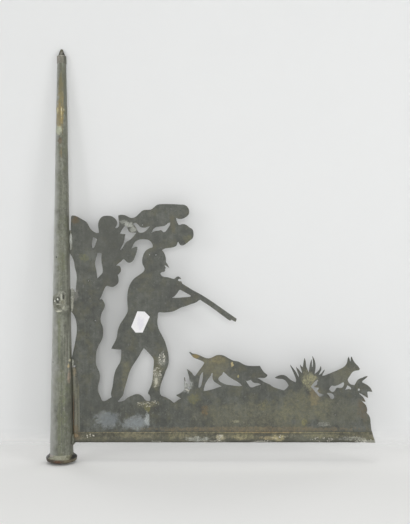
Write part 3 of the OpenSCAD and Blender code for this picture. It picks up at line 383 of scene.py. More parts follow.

# %% [markdown]
# ## From groups to finishes
# `old_zinc` makes one finish: the patina in three colours, the marks from a list (stains, and on
# some pieces painted shade and painted highlights), a roughness that follows the tone, and a bump of
# one to four tenths of a millimetre. Weathered zinc is a metal under a skin of carbonate, so it is
# only partly metallic and quite rough.


# %% Old zinc as a finish
def with_stains_and_painted_light(tree, under, marks):
    """Lays the marks over a colour socket and gives the new colour socket."""
    for x, z, half_w, half_h, hex_value, strength, broken, side in marks:
        under = add(tree, "ShaderNodeGroup", {"Under": under, "Stain": colour(hex_value),
            "Place": mm(x, 0, z), "Size": (mm(half_w), 1, mm(half_h)),
            "Tear": 0.8 / mm(min(half_w, half_h)), "Strength": strength, "Break": broken,
            "Side": side}, node_tree=stain_and_painted_light_mark)
    return under


def old_zinc(name, dark, middle, pale, mottle_mm, streaks, marks=(), sides=(1, 1, 1),
             metallic=0.2, bump_mm=0.12, finish=None, moss="#6b6950", moss_share=0.6):
    """A finish of the patina with marks on it. finish is a step between the two, if there is one,
    and sides stretches the pattern so that front and back don't match."""
    skin, tree = blank_material(name)
    base = add(tree, "ShaderNodeGroup", {"Dark": colour(dark), "Middle": colour(middle),
        "Pale": colour(pale), "Moss": colour(moss), "Moss Share": moss_share,
        "Mottle": 1 / mm(mottle_mm), "Streaks": streaks, "Sides": sides}, node_tree=patina)
    hue = base.outputs["Colour"]
    if finish:
        hue = finish(tree, hue)
    hue = with_stains_and_painted_light(tree, hue, marks)
    rough = add(tree, "ShaderNodeMapRange", {"Value": base.outputs["Tone"], "From Min": 0.35,
        "From Max": 0.65, "To Min": 0.5, "To Max": 0.72})
    coated(tree, hue, rough, base.outputs["Height"], bump_mm, 0.6, metallic)
    return skin


def on(side, *marks):
    """Puts marks on one side. Each is x, z, half width, half height, colour, strength, breaks."""
    return [(*mark, side) for mark in marks]


FRONT, BACK = -1, 1
print("finish maker ready")

# %% [markdown]
# ## The figure sheet
# The sheet was cut from flat rolled zinc and has gone olive grey. Flux burns lie above the rail,
# lichen has settled on the hunter's front leg and on the ground below it, and yellow spots of it
# run along the field. The pattern is shifted between front and back, so the two sides differ.

# %% Sheet finish
sheet_marks = on(FRONT,
    (95, 460, 80, 55, "#4b4c46", 0.5, 0.4), (104, 400, 24, 80, "#3f403b", 0.5, 0.5),
    (370, 94, 120, 30, "#77755f", 0.5, 0.7), (300, 190, 50, 24, "#7d785c", 0.5, 0.6),
    (572, 175, 32, 26, "#7a7863", 0.45, 0.6), (408, 114, 13, 12, "#7b7750", 0.4, 0.8),
    (560, 100, 60, 30, "#74735f", 0.4, 0.7), (480, 112, 56, 36, "#79765a", 0.5, 0.7),
    (70, 120, 46, 24, "#4f514c", 0.5, 0.5), (92, 85, 28, 19, "#8d9293", 0.7, 0.5),
    (94, 86, 20, 13, "#676d70", 0.7, 0.5), (148, 79, 31, 15, "#959a9a", 0.7, 0.5),
    (145, 79, 25, 10, "#767c7f", 0.7, 0.5), (171, 86, 5, 14, "#a9aead", 0.8, 0.4),
    (124, 481, 9, 4, "#90928a", 0.9, 0.5), (134, 475, 10, 5.5, "#a8aaa2", 0.9, 0.5),
    (143, 465, 8, 6, "#9c9e96", 0.9, 0.4), (200, 206, 9, 16, "#a8a89c", 0.7, 0.8),
    (190, 168, 9, 20, "#a8a89c", 0.7, 0.8), (189, 162, 3.5, 8, "#d4d1c2", 0.85, 0.5),
    (172, 109, 7, 8, "#7f7b45", 0.6, 0.6), (174, 116, 24, 7, "#8f8b6c", 0.5, 0.8),
    (265, 126, 13, 11, "#77733f", 0.5, 0.6), (286, 103, 8, 12, "#75603c", 0.6, 0.8),
    (506, 132, 11, 24, "#86795a", 0.6, 0.6), (495, 164, 16, 21, "#a39f7b", 0.75, 0.8),
    (485, 80, 7, 8, "#85804f", 0.5, 0.8), (268, 212, 9, 5, "#917e48", 0.75, 0.4),
    (341, 196, 3.2, 5, "#c2b182", 0.85, 0.2), (353, 172, 2.4, 3.4, "#aba173", 0.7, 0.2),
    (312, 205, 20, 9, "#8c8057", 0.4, 0.7), (28, 483, 9, 8, "#5d4c31", 0.8, 0.5),
    (348, 82, 9, 3.5, "#a09d80", 0.6, 0.8), (523, 76, 14, 5.5, "#9fa096", 0.6, 0.8),
    (251, 152, 11, 14, "#b0b2ae", 0.8, 0.6), (45, 410, 12, 9, "#767850", 0.5, 0.8),
    (27, 335, 8, 13, "#82817a", 0.7, 0.5), (222, 478, 7, 22, "#645e49", 0.4, 0.6),
    (252, 446, 9, 10, "#77754c", 0.5, 0.8), (188, 180, 13, 45, "#75714f", 0.4, 0.7),
    (128, 168, 9, 34, "#7a7658", 0.4, 0.7), (380, 66, 240, 6, "#7f7257", 0.6, 0.6),
    (603, 108, 12, 30, "#5f4f3b", 0.55, 0.7)) + on(BACK,
    (60, 78, 20, 12, "#8b8f8e", 0.6, 0.6), (300, 90, 90, 20, "#7b7a62", 0.4, 0.8),
    (200, 320, 40, 50, "#6f7064", 0.5, 0.8), (180, 500, 50, 14, "#7d7c58", 0.5, 0.8),
    (480, 110, 40, 24, "#8f8a62", 0.5, 0.9))
# Olive grey, matt and cloudy: to the eye, sheet metal that has stood out in the rain for decades.
sheet_zinc = old_zinc("old rolled zinc, sheet", "#393a36", "#4d4f49", "#646660", 15, 0.2,
    sheet_marks, sides=(1, 60, 1), moss="#626049", moss_share=0.4)
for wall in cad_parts["silhouette_sheet"].material_slots:
    wall.material = sheet_zinc
print("sheet:", len(sheet_marks), "marks")

# %% [markdown]
# ## Rail and edge channel
# Both are folded strips with an iron wire in their roll. Rain stands on the rail, so it is browner
# than the sheet, with cream scale and moss along it and rust at the corner by the spire.

# %% Rail and channel finishes
# Painted shade: the dark bands along the bottom of the rail, front and back, and the near-black line
# at its lower edge. The pale lines along the lip at z 60 are tan deposits with a painted highlight
# in them.
rail_stains_and_painted_light = on(FRONT,
    (330, 43, 400, 6, "#42433b", 0.75, 0.5), (500, 50, 50, 12, "#67695c", 0.6, 0.6),
    (30, 55, 11, 12, "#5f4a33", 0.5, 0.7), (29, 54, 6, 4, "#a08a68", 0.7, 0.5),
    (317, 50, 9, 7, "#b9b295", 0.8, 0.7), (435, 50, 17, 7, "#b3aa80", 0.7, 0.8),
    (150, 53, 40, 5, "#837d61", 0.5, 0.8), (230, 54, 24, 5, "#847d5c", 0.5, 0.8),
    (360, 52, 26, 7, "#96906a", 0.55, 0.8), (520, 53, 42, 5, "#8f8963", 0.5, 0.8),
    (590, 50, 22, 8, "#6f6a50", 0.5, 0.8), (300, 43, 30, 2.2, "#bdbcae", 0.7, 0.9),
    (400, 42, 20, 2, "#c2c2b4", 0.7, 0.9), (600, 43, 18, 3, "#c7c8bc", 0.7, 0.9),
    (190, 42, 14, 2, "#b5b4a6", 0.6, 0.9), (330, 40, 360, 2.4, "#262722", 0.8, 0.3),
    (150, 60, 120, 1.6, "#9b9170", 0.6, 0.7), (420, 60, 200, 1.6, "#a29a72", 0.6, 0.7),
    (273, 47, 26, 5, "#aeb1a8", 0.7, 0.85), (358, 49, 14, 4, "#a89f7c", 0.6, 0.8),
    (415, 49, 22, 4, "#b3a57c", 0.6, 0.8), (580, 48, 30, 4, "#b9bbb0", 0.6, 0.85),
    (403, 61, 85, 2.5, "#9a835a", 0.7, 0.6), (400, 57, 150, 1.2, "#4b473a", 0.6, 0.5)) + on(BACK,
    (120, 50, 60, 8, "#6f6a52", 0.5, 0.8), (420, 50, 120, 8, "#726d54", 0.5, 0.8),
    (330, 44, 400, 7, "#42433b", 0.7, 0.5), (30, 52, 12, 12, "#7c5230", 0.6, 0.5))
# Browner and lumpier than the sheet: the fold where wet dirt stays.
rail_zinc = old_zinc("old folded zinc, rail", "#3a392f", "#525145", "#7a7763", 6, 0.1, rail_stains_and_painted_light,
    bump_mm=0.3)
# Painted light: the thin dark lines at x 25.6, 30.3 and 32.5 are painted shade in the fold and its
# gap, and the thin pale lines at x 26.5, 28.5 and 35 are painted highlights on the roll and the
# flange. The rest is rust and dirt.
channel_stains_and_painted_lines = on(FRONT,
    (32.5, 90, 0.9, 50, "#35352f", 0.8, 0.3), (35, 90, 1.0, 50, "#7d7d72", 0.7, 0.4),
    (28.5, 95, 1.2, 55, "#7c7a6a", 0.7, 0.5), (25.6, 95, 0.9, 55, "#3a342b", 0.7, 0.3),
    (30.3, 165, 0.9, 34, "#3b3b34", 0.7, 0.3), (26.5, 165, 1.1, 34, "#82806f", 0.6, 0.5),
    (24, 95, 1.4, 50, "#6b4c30", 0.6, 0.7), (29, 66, 5, 12, "#6e5439", 0.5, 0.7),
    (26, 182, 4, 9, "#8d7e62", 0.6, 0.6)) + on(BACK,
    (29, 66, 8, 16, "#7a5838", 0.5, 0.6))
# Painted shade lines in the fold and its gap, painted highlights along the roll and the flange, and
# long streaks the way the water runs.
channel_zinc = old_zinc("old folded zinc, channel", "#45443b", "#5d5d53", "#75756a", 7, 0.6,
    channel_stains_and_painted_lines, bump_mm=0.25)
print("rail and channel finishes made")

# %% [markdown]
# ## The spire
# The tube's weather side, away from the sheet, has bleached to pale grey. The front is olive with
# a strip of moss that widens towards the foot, and the side by the sheet stays dark. The bleaching
# follows the surface's own direction, so it turns with the tube.


# %% Spire finish
def bleached(tree, under):
    """Pale on the side that faces away from the sheet, dark on the side by the sheet."""
    way = add(tree, "ShaderNodeTexCoord").outputs
    turn = add(tree, "ShaderNodeSeparateXYZ", {0: way["Normal"]}).outputs["X"]
    patchy = add(tree, "ShaderNodeTexNoise", {"Vector": way["Object"], "Scale": 1 / mm(16),
        "Detail": 5})
    turn = add(tree, "ShaderNodeMath", {0: patchy, 1: 0.8, 2: turn}, operation="MULTIPLY_ADD")
    pale = add(tree, "ShaderNodeMapRange", {"Value": turn, "From Min": 0.25, "From Max": -0.45,
        "To Max": 0.85})
    deep = add(tree, "ShaderNodeMapRange", {"Value": turn, "From Min": 0.95, "From Max": 1.35,
        "To Max": 0.6})
    mixed = add(tree, "ShaderNodeMix", {0: pale, 6: under, 7: colour("#a9aaa6")}, data_type="RGBA")
    return add(tree, "ShaderNodeMix", {0: deep, 6: mixed.outputs[2], 7: colour("#5b5b51")},
        data_type="RGBA").outputs[2]


spire_marks = on(FRONT,
    (-1.5, 250, 3, 55, "#6c7456", 0.6, 0.5), (2, 110, 9, 105, "#6f7559", 0.5, 0.7),
    (0, 743, 6.5, 36, "#7d734c", 0.9, 0.4), (-3, 692, 9, 30, "#94814f", 0.9, 0.6),
    (8, 745, 3, 40, "#5d6056", 0.7, 0.4), (2, 783, 3, 7, "#5b5c50", 0.6, 0.5),
    (3, 704, 3.5, 4.5, "#d9d2b2", 0.9, 0.2), (-7, 702, 3, 6, "#c4bb94", 0.85, 0.4),
    (3, 694, 2.5, 16, "#c9bd8d", 0.8, 0.7), (-4, 662, 7.5, 10, "#b3b59c", 0.9, 0.4),
    (-1, 641, 5, 7, "#5f4a30", 0.85, 0.5), (0, 617, 3, 6, "#6b5a40", 0.6, 0.6),
    (11, 309, 6, 6, "#9fa093", 0.7, 0.5), (12, 296, 5, 7, "#55564e", 0.6, 0.6),
    (2.5, 619, 2.5, 15, "#85714c", 0.7, 0.5), (-7.6, 410, 1.6, 1.6, "#33342f", 0.9, 0),
    (-15, 202, 1.4, 1.4, "#3a3a35", 0.8, 0), (0, 40, 1.4, 1.4, "#3f3f3a", 0.7, 0),
    (16.5, 172, 3, 14, "#b09a88", 0.7, 0.6), (0, 770, 9, 34, "#5f5d4c", 0.6, 0.6),
    (16, 222, 1.3, 46, "#9a9b90", 0.7, 0.4), (17.5, 205, 1.8, 3, "#d5cfb4", 0.9, 0.3),
    (15.6, 194, 2, 4, "#cbb78c", 0.9, 0.3), (-5, 160, 8, 50, "#8b8c86", 0.4, 0.7)) + on(BACK,
    (4, 500, 6, 60, "#7a7a62", 0.4, 0.8), (-4, 150, 10, 80, "#70755c", 0.5, 0.8))
# Pale on the weather side and mossy in front: the round tube reads as old and much rained on.
spire_zinc = old_zinc("old rolled zinc, spire", "#52534a", "#6b6d61", "#86877c", 7, 0.5,
    spire_marks, finish=bleached, moss="#63684c")
print("spire:", len(spire_marks), "marks")

# %% [markdown]
# ## The spire's shape
# A tube rolled from sheet follows one rule: a radius for each height, straight from the foot to a
# knee and steeper above it. Geometry Nodes draw it as a curve whose radius is that rule. Shallow
# dents push the wall in by a few tenths of a millimetre. A modelled cylinder with loop cuts would
# look the same at first, but every change of size would have to be done by hand.


# %% Radius rule and maker of meshes
def plain_result(holder):
    """The mesh that an object's modifiers make. The object itself goes."""
    done = holder.evaluated_get(bpy.context.evaluated_depsgraph_get())
    mesh = bpy.data.meshes.new_from_object(done)
    bpy.data.objects.remove(holder)
    return mesh


def grow(name, tree, base=None, **sizes):
    """Runs a Geometry Nodes tree, on a mesh or from nothing, and gives the plain mesh it makes."""
    holder = placed(name, base or bpy.data.meshes.new(name))
    plan = holder.modifiers.new(name, "NODES")
    plan.node_group = tree
    identifier = {
        item.name: item.identifier for item in tree.interface.items_tree if item.in_out == "INPUT"}
    for key, value in sizes.items():
        plan[identifier[key]] = value
    mesh = plain_result(holder)
    mesh.name = name
    return mesh


spire_low, spire_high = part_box("spire_tube")
SPIRE = {"Foot Z": spire_low[2], "Knee Z": mm(704), "Top Z": spire_high[2],
    "Foot Radius": spire_high[0], "Knee Radius": mm(11.1), "Top Radius": mm(8.6)}
spire_inputs = [(key, "Float", value) for key, value in SPIRE.items()]
rule, given, result = node_group("spire radius", "Geometry", ("Height", "Float", 0.0),
    *spire_inputs, ("Radius", "Float", "out"))
low = add(rule, "ShaderNodeMapRange", {"Value": given["Height"], "From Min": given["Foot Z"],
    "From Max": given["Knee Z"], "To Min": given["Foot Radius"], "To Max": given["Knee Radius"]})
step = add(rule, "ShaderNodeMath", {0: given["Top Radius"], 1: given["Knee Radius"]},
    operation="SUBTRACT")
high = add(rule, "ShaderNodeMapRange", {"Value": given["Height"], "From Min": given["Knee Z"],
    "From Max": given["Top Z"], "To Min": 0, "To Max": step})
total = add(rule, "ShaderNodeMath", {0: low, 1: high}, operation="ADD")
rule.links.new(total.outputs[0], result["Radius"])
print("spire from", round(SPIRE["Foot Z"], 4), "to", round(SPIRE["Top Z"], 4), "m")


# %% Spire tree
def pushed_in(tree, geometry, size_mm, depth_mm):
    """Moves a surface inwards by noise, as knocks do."""
    place = add(tree, "GeometryNodeInputPosition")
    knock = add(tree, "ShaderNodeTexNoise", {"Vector": place, "Scale": 1 / mm(size_mm),
        "Detail": 2})
    inward = add(tree, "ShaderNodeMapRange", {"Value": knock, "From Min": 0.4, "From Max": 0.7,
        "To Min": 0, "To Max": -mm(depth_mm)})
    normal = add(tree, "GeometryNodeInputNormal")
    shift = add(tree, "ShaderNodeVectorMath", {0: normal, "Scale": inward}, operation="SCALE")
    return add(tree, "GeometryNodeSetPosition", {"Geometry": geometry, "Offset": shift})


def delivered(tree, geometry, given, result):
    """Ends a Geometry Nodes tree: one plain mesh in the finish that was asked for."""
    plain = add(tree, "GeometryNodeRealizeInstances", {"Geometry": geometry})
    made = add(tree, "GeometryNodeSetMaterial", {"Geometry": plain, "Material": given["Finish"]})
    tree.links.new(made.outputs[0], result["Mesh"])


RINGS, FACETS = 260, 96     # how finely the tube is drawn, along it and round it
tube, given, result = node_group("rolled tube", "Geometry", *spire_inputs,
    ("Finish", "Material", None), ("Mesh", "Geometry", "out"))
start = add(tube, "ShaderNodeCombineXYZ", {"Z": given["Foot Z"]})
end = add(tube, "ShaderNodeCombineXYZ", {"Z": given["Top Z"]})
line = add(tube, "GeometryNodeCurvePrimitiveLine", {"Start": start, "End": end})
line = add(tube, "GeometryNodeResampleCurve", {"Curve": line, "Count": RINGS})
up = add(tube, "ShaderNodeSeparateXYZ", {0: add(tube, "GeometryNodeInputPosition")})
wide = add(tube, "GeometryNodeGroup", {"Height": up.outputs["Z"],
    **{key: given[key] for key in SPIRE}}, node_tree=rule)
ring = add(tube, "GeometryNodeCurvePrimitiveCircle", {"Resolution": FACETS, "Radius": 1.0})
wall = add(tube, "GeometryNodeCurveToMesh", {"Curve": line, "Profile Curve": ring, "Scale": wide})
wall = pushed_in(tube, wall, size_mm=38, depth_mm=0.5)
delivered(tube, wall, given, result)
print("tube tree:", len(tube.nodes), "nodes")


# %% Dressed pieces
def outward(mesh, volume_check=True):
    """Merges doubles, then turns every face of a closed mesh outwards."""
    work = bmesh.new()
    work.from_mesh(mesh)
    bmesh.ops.remove_doubles(work, verts=work.verts, dist=mm(0.004))
    bmesh.ops.recalc_face_normals(work, faces=work.faces)
    if volume_check and work.calc_volume(signed=True) < 0:
        bmesh.ops.reverse_faces(work, faces=work.faces)
    work.to_mesh(mesh)
    work.free()
    return mesh


def shaded(mesh, degrees=35):
    """Smooth shading, with a sharp line wherever two faces meet at more than this angle."""
    mesh.shade_smooth()
    mesh.set_sharp_from_angle(angle=math.radians(degrees))
    return mesh


def finished(mesh, *modifiers):
    """Puts modifiers, each (kind, settings), on a mesh and gives the plain result."""
    holder = placed("holder", mesh)
    for kind, settings in modifiers:
        added = holder.modifiers.new(kind, kind)
        for key, value in settings.items():
            setattr(added, key, value)
    return plain_result(holder)


def dress(node, mesh, finish, body="vane"):
    """Shows this mesh in place of a CAD node."""
    mesh.materials.clear()
    mesh.materials.append(finish)
    piece = placed(node + "_dressed", mesh)
    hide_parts(node)
    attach(piece, body)
    print(node, "has", len(mesh.polygons), "faces")


skin = grow("spire", tube, Finish=spire_zinc, **SPIRE)
skin = outward(skin, volume_check=False)
if skin.polygons[0].normal.dot(Vector((*skin.polygons[0].center[:2], 0))) < 0:
    skin.flip_normals()
skin = finished(skin, ("SOLIDIFY", {"thickness": mm(1), "offset": -1, "use_rim": True}))
dress("spire_tube", shaded(skin), spire_zinc)

# %% [markdown]
# ## The seam down the spire
# The tube's two edges overlap and are tinned together, which leaves a thin bead of solder that
# swells and shrinks as the iron moved along. It follows the tube's surface, so Geometry Nodes
# build it as a narrow grid whose points are put on the tube by the same radius rule.

# %% Solder finish
solder_marks = on(FRONT,
    (19, 447, 5, 12, "#a9aca7", 0.85, 0.2), (19, 430, 4, 12, "#90928c", 0.7, 0.5),
    (20, 312, 5, 9, "#a9aa9b", 0.7, 0.5), (22, 336, 7, 6, "#6d6e64", 0.7, 0.7))
# Paler and a little more metallic than zinc, so that each joint stands out as a soft bright lump.
solder_metal = old_zinc("weathered tin-lead solder, wiped", "#5f6058", "#84857c", "#aeaea3", 4,
    0.1, solder_marks, bump_mm=0.35, metallic=0.25)
# Painted light: the dark marks are painted shade in the pits, and the pale ones are painted glints
# and highlights on the rims.
patch_pit_shade_and_glints = on(FRONT,
    (-4.9, 325, 5, 7.5, "#33342d", 0.9, 0.2), (-13.2, 324, 1.2, 7, "#34352f", 0.85, 0.2),
    (-4.8, 326.6, 1.8, 2.3, "#d9dad0", 0.95, 0), (-10.6, 323, 1.4, 2.4, "#dcdcd2", 0.9, 0),
    (-2.8, 311.4, 6.5, 5, "#4a4b3c", 0.75, 0.3), (6.8, 332, 2, 7, "#34342e", 0.9, 0.1),
    (2.6, 331, 1.5, 9, "#b2b3a7", 0.8, 0.2), (-2.5, 303, 8, 1.8, "#c6c6b3", 0.85, 0.2),
    (-2.5, 317, 6.5, 1.2, "#b6b7a9", 0.8, 0.3), (8, 309, 4, 5, "#b0b1a4", 0.6, 0.4))
# The same solder with painted shade in its pits and painted glints and highlights on its rims: a
# repair that was dabbed on and never filed.
patch_metal = old_zinc("weathered solder, rough patch", "#5d5e54", "#7d7e73", "#a6a79b", 4, 0.1,
    patch_pit_shade_and_glints, bump_mm=0.4, metallic=0.25)
# Solder as grey as the zinc, for the corner where dirt has long covered it.
old_solder = old_zinc("weathered solder, grey", "#45463d", "#595a4f", "#737468", 5, 0.2,
    bump_mm=0.3, metallic=0.25)
rim_marks = on(FRONT,
    (-32, 12, 14, 20, "#16140f", 1, 0), (32, 12, 13, 20, "#1d1b14", 1, 0),
    (17, 13, 7, 6, "#5c5a44", 0.7, 0.7), (0, 8, 26, 4, "#5f5b48", 0.7, 0.5),
    (-21, 8, 9, 5, "#38332a", 0.85, 0.3), (-17, 17, 5, 3, "#a89f9c", 0.7, 0.4),
    (-12, 9, 12, 4, "#57483a", 0.6, 0.4)) + on(BACK,
    (-32, 12, 14, 20, "#16140f", 1, 0), (32, 12, 13, 20, "#1d1b14", 1, 0))
# A creamy fillet over the dark rim, near black at both ends, front and back.
rim_solder_metal = old_zinc("weathered solder, foot", "#6f6f62", "#8d8d7b", "#acab9c", 5, 0.2,
    rim_marks, bump_mm=0.3, metallic=0.25)
# Long streaks make the bead look drawn out along the tube.
seam_metal = old_zinc("weathered solder, seam", "#585a4f", "#6a6c60", "#85877b", 9, 0.7,
    on(FRONT, (3.5, 705, 4, 48, "#8f7d4c", 0.75, 0.5)), metallic=0.25)
print("solder finishes made")

# %% Seam tree
seam, given, result = node_group("tinned seam", "Geometry", *spire_inputs,
    ("Middle X", "Float", mm(3.8)), ("Width", "Float", mm(2.8)), ("Rise", "Float", mm(0.6)),
    ("Low", "Float", 0.02), ("High", "Float", 0.79), ("Ripple", "Float", mm(7)),
    ("Finish", "Material", None), ("Mesh", "Geometry", "out"))
grid = add(seam, "GeometryNodeMeshGrid", {"Size X": 2.0, "Size Y": 1.0, "Vertices X": 9,
    "Vertices Y": 600})
uv = add(seam, "ShaderNodeSeparateXYZ", {0: add(seam, "GeometryNodeInputPosition")})
rise = add(seam, "ShaderNodeMapRange", {"Value": uv.outputs["Y"], "From Min": -0.5,
    "From Max": 0.5, "To Min": given["Low"], "To Max": given["High"]})
half = product(seam, given["Width"], 0.5)
across = add(seam, "ShaderNodeMath", {0: uv.outputs["X"], 1: half, 2: given["Middle X"]},
    operation="MULTIPLY_ADD")
radius = add(seam, "GeometryNodeGroup", {"Height": rise, **{key: given[key] for key in SPIRE}},
    node_tree=rule)
square = product(seam, radius, radius)
side = product(seam, across, across)
deep = add(seam, "ShaderNodeMath", {0: square, 1: side}, operation="SUBTRACT")
deep = add(seam, "ShaderNodeMath", {0: deep}, operation="SQRT")
arch = product(seam, uv.outputs["X"], uv.outputs["X"])
arch = add(seam, "ShaderNodeMath", {0: 1.0, 1: arch}, operation="SUBTRACT", use_clamp=True)
arch = add(seam, "ShaderNodeMath", {0: arch}, operation="SQRT")
waves = add(seam, "ShaderNodeMath", {0: rise, 1: given["Ripple"]}, operation="DIVIDE")
waves = add(seam, "ShaderNodeTexNoise", {"W": waves, "Scale": 1.0, "Detail": 2},
    noise_dimensions="1D")
swell = add(seam, "ShaderNodeMapRange", {"Value": waves, "From Min": 0.3, "From Max": 0.7,
    "To Min": 0.35, "To Max": 1})
swell = product(seam, swell, given["Rise"])
front = add(seam, "ShaderNodeMath", {0: arch, 1: swell, 2: deep}, operation="MULTIPLY_ADD")
front = product(seam, front, -1)
place = add(seam, "ShaderNodeCombineXYZ", {"X": across, "Y": front, "Z": rise})
strip = add(seam, "GeometryNodeSetPosition", {"Geometry": grid, "Position": place})
delivered(seam, strip, given, result)
seam_low, seam_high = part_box("spire_seam")
bead = grow("seam", seam, Finish=seam_metal, Low=seam_low[2], High=seam_high[2], **SPIRE)
if bead.polygons[0].normal.y > 0:
    bead.flip_normals()
bead = finished(bead, ("SOLIDIFY", {"thickness": mm(0.3), "offset": -1}))
dress("spire_seam", shaded(bead, 60), seam_metal)

# %% [markdown]
# ## Lumps of solder
# Hot solder pulls itself round and freezes in lumps. The CAD pieces give each lump its place and
# rough shape. A copy of each is rebuilt from small voxels, which rounds its edges, and pushed in
# and out by noise. Metaballs could do this too, but they would lose the CAD shape.


# %% Solder lumps
def plain_copy(node):
    """A CAD node's mesh as one closed skin that can be changed."""
    return outward(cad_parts[node].data.copy())


def pushed(mesh, size_mm, amount_mm, seed):
    """Moves each point along its normal by fractal noise of this size."""
    moved = []
    for vertex in mesh.vertices:
        where = Vector(vertex.co) / mm(size_mm) + Vector((seed, 2 * seed, -seed))
        moved.append(vertex.co + vertex.normal * noise.fractal(where, 1, 2, 3) * mm(amount_mm))
    for vertex, place in zip(mesh.vertices, moved):
        vertex.co = place
    return mesh


def lump(node, voxel_mm, size_mm, amount_mm, seed, finish=solder_metal):
    """Rounds a solder node and makes it uneven."""
    mesh = finished(plain_copy(node), ("REMESH", {"mode": "VOXEL", "voxel_size": mm(voxel_mm)}),
        ("SMOOTH", {"factor": 0.5, "iterations": 3}))
    mesh = pushed(mesh, size_mm, amount_mm, seed)
    mesh.shade_smooth()
    dress(node, mesh, finish)


# the size of a voxel, then the size and the amount of the noise, in mm, and its seed
lump("solder_top", 0.45, 4, 0.5, 1)
lump("solder_middle", 0.5, 4, 0.7, 2)
lump("solder_lower", 0.4, 3, 0.5, 3)
lump("solder_corner", 0.5, 4, 0.6, 4, old_solder)
lump("solder_patch", 0.35, 3, 0.5, 5, patch_metal)
lump("rail_end_solder", 0.35, 3, 0.25, 6)
lump("rim_solder", 0.3, 5, 0.15, 7, rim_solder_metal)

# %% [markdown]
# ## Rolled rim, rail, channel and tip
# The rim at the foot is rolled round an iron ring and has rusted through its zinc. The tip is a
# pressed ferrule under a small cast cone. They are smooth copies of the CAD pieces. The rim, rail
# and channel are cut up and knocked about a little, because nothing on the real one is quite
# straight. The ferrule is only knocked about and the cone is only cut up.

# %% Rim and tip finishes
# Nearly black brown with rust: iron that has come through its zinc.
rim_zinc = old_zinc("rusted rolled zinc, rim", "#2c2721", "#4a4136", "#6d6658", 7, 0.1, on(FRONT,
    (-3, 6, 9, 6, "#5e3924", 0.8, 0.4), (14, 7, 8, 5, "#7d7458", 0.5, 0.6),
    (-18, 8, 7, 5, "#36302a", 0.7, 0.4)) + on(BACK,
    (5, 8, 8, 5, "#694026", 0.7, 0.5)),
    bump_mm=0.35, metallic=0.15)
# Plain mid grey with few streaks: a small pressed part, calmer to the eye than the tube.
tip_zinc = old_zinc("old zinc, ferrule", "#66645b", "#7a786c", "#8f8d82", 6, 0.2, on(FRONT,
    (7.5, 803, 2.6, 16, "#474a3f", 0.9, 0.3), (-5, 803, 3.5, 10, "#9b9490", 0.7, 0.5),
    (1, 812, 8, 2, "#a9a79d", 0.6, 0.5)))
# Dark, with painted shade down both sides and a painted highlight down its middle, so that the cone
# reads as cast and solid.
cast_zinc = old_zinc("dark cast zinc, cone", "#24231e", "#3e3c34", "#716e64", 4, 0.3, on(FRONT,
    (5, 818, 2.6, 8, "#1f1e19", 0.9, 0.2), (-5, 818, 2.4, 8, "#25241f", 0.8, 0.3),
    (0, 817, 2.5, 3.5, "#8a8780", 0.7, 0.4)))
print("rim and tip finishes made")


# %% Rim, rail, channel and tip
def sliced(mesh, axis, spacing_mm):
    """Cuts a mesh by parallel planes, so that it has points to bend at."""
    work = bmesh.new()
    work.from_mesh(mesh)
    low = min(vertex.co[axis] for vertex in work.verts)
    high = max(vertex.co[axis] for vertex in work.verts)
    direction = [0, 0, 0]
    direction[axis] = 1
    cuts = int((high - low) / mm(spacing_mm))
    for cut in range(1, cuts):
        point = [0, 0, 0]
        point[axis] = low + (high - low) * cut / cuts
        bmesh.ops.bisect_plane(work, geom=[*work.verts, *work.edges, *work.faces], plane_co=point,
            plane_no=direction, dist=mm(0.01))
    work.to_mesh(mesh)
    work.free()
    return mesh


rim = sliced(sliced(plain_copy("base_rim"), 0, 3), 1, 3)
dress("base_rim", shaded(pushed(rim, 12, 0.5, 11), 50), rim_zinc)
rail = sliced(plain_copy("bottom_rail"), 0, 5)
dress("bottom_rail", shaded(pushed(rail, 22, 0.35, 12)), rail_zinc)
channel = sliced(plain_copy("edge_channel"), 2, 4)
dress("edge_channel", shaded(pushed(channel, 16, 0.3, 13)), channel_zinc)
dress("tip_ferrule", shaded(pushed(plain_copy("tip_ferrule"), 6, 0.15, 14)), tip_zinc)
dress("tip_cone", shaded(sliced(plain_copy("tip_cone"), 2, 1.5)), cast_zinc)

# %% [markdown]
# ## Lichen and crust
# Lichen grows on the zinc in small dry cushions, thick enough to throw a shadow. Geometry Nodes
# scatter flat pebbles over the real surface of the sheet and the rail, only inside an oval round
# each patch and only where a noise lets them grow. Painting them would look flat from the side.

# %% Lichen tree
growth, given, result = node_group("lichen", "Geometry", ("Surface", "Geometry", None),
    ("Centre", "Vector", (0, 0, 0)), ("Reach", "Vector", (1, 1, 1)),
    ("Density", "Float", 160000.0), ("Size", "Float", mm(1)), ("Seed", "Int", 1),
    ("Finish", "Material", None), ("Mesh", "Geometry", "out"))
place = add(growth, "GeometryNodeInputPosition")
away = add(growth, "ShaderNodeVectorMath", {0: place, 1: given["Centre"]}, operation="SUBTRACT")
away = add(growth, "ShaderNodeVectorMath", {0: away, 1: given["Reach"]}, operation="DIVIDE")
away = add(growth, "ShaderNodeVectorMath", {0: away, 1: (1, 0, 1)}, operation="MULTIPLY")
away = add(growth, "ShaderNodeVectorMath", {0: away}, operation="LENGTH")
inside_oval = add(growth, "FunctionNodeCompare", {0: away.outputs["Value"], 1: 1.0},
    operation="LESS_THAN")
facing = add(growth, "ShaderNodeSeparateXYZ", {0: add(growth, "GeometryNodeInputNormal")})
in_front = add(growth, "FunctionNodeCompare", {0: facing.outputs["Y"], 1: -0.5},
    operation="LESS_THAN")
dots = add(growth, "GeometryNodeDistributePointsOnFaces",
    {"Mesh": given["Surface"], "Selection": in_front, "Density": given["Density"],
    "Seed": given["Seed"]})
wild = add(growth, "ShaderNodeTexNoise", {"Vector": place, "Scale": 1 / mm(7), "Detail": 3})
rooted = add(growth, "FunctionNodeCompare", {0: wild, 1: 0.5}, operation="GREATER_THAN")
chosen = add(growth, "FunctionNodeBooleanMath", {0: inside_oval, 1: rooted}, operation="AND")
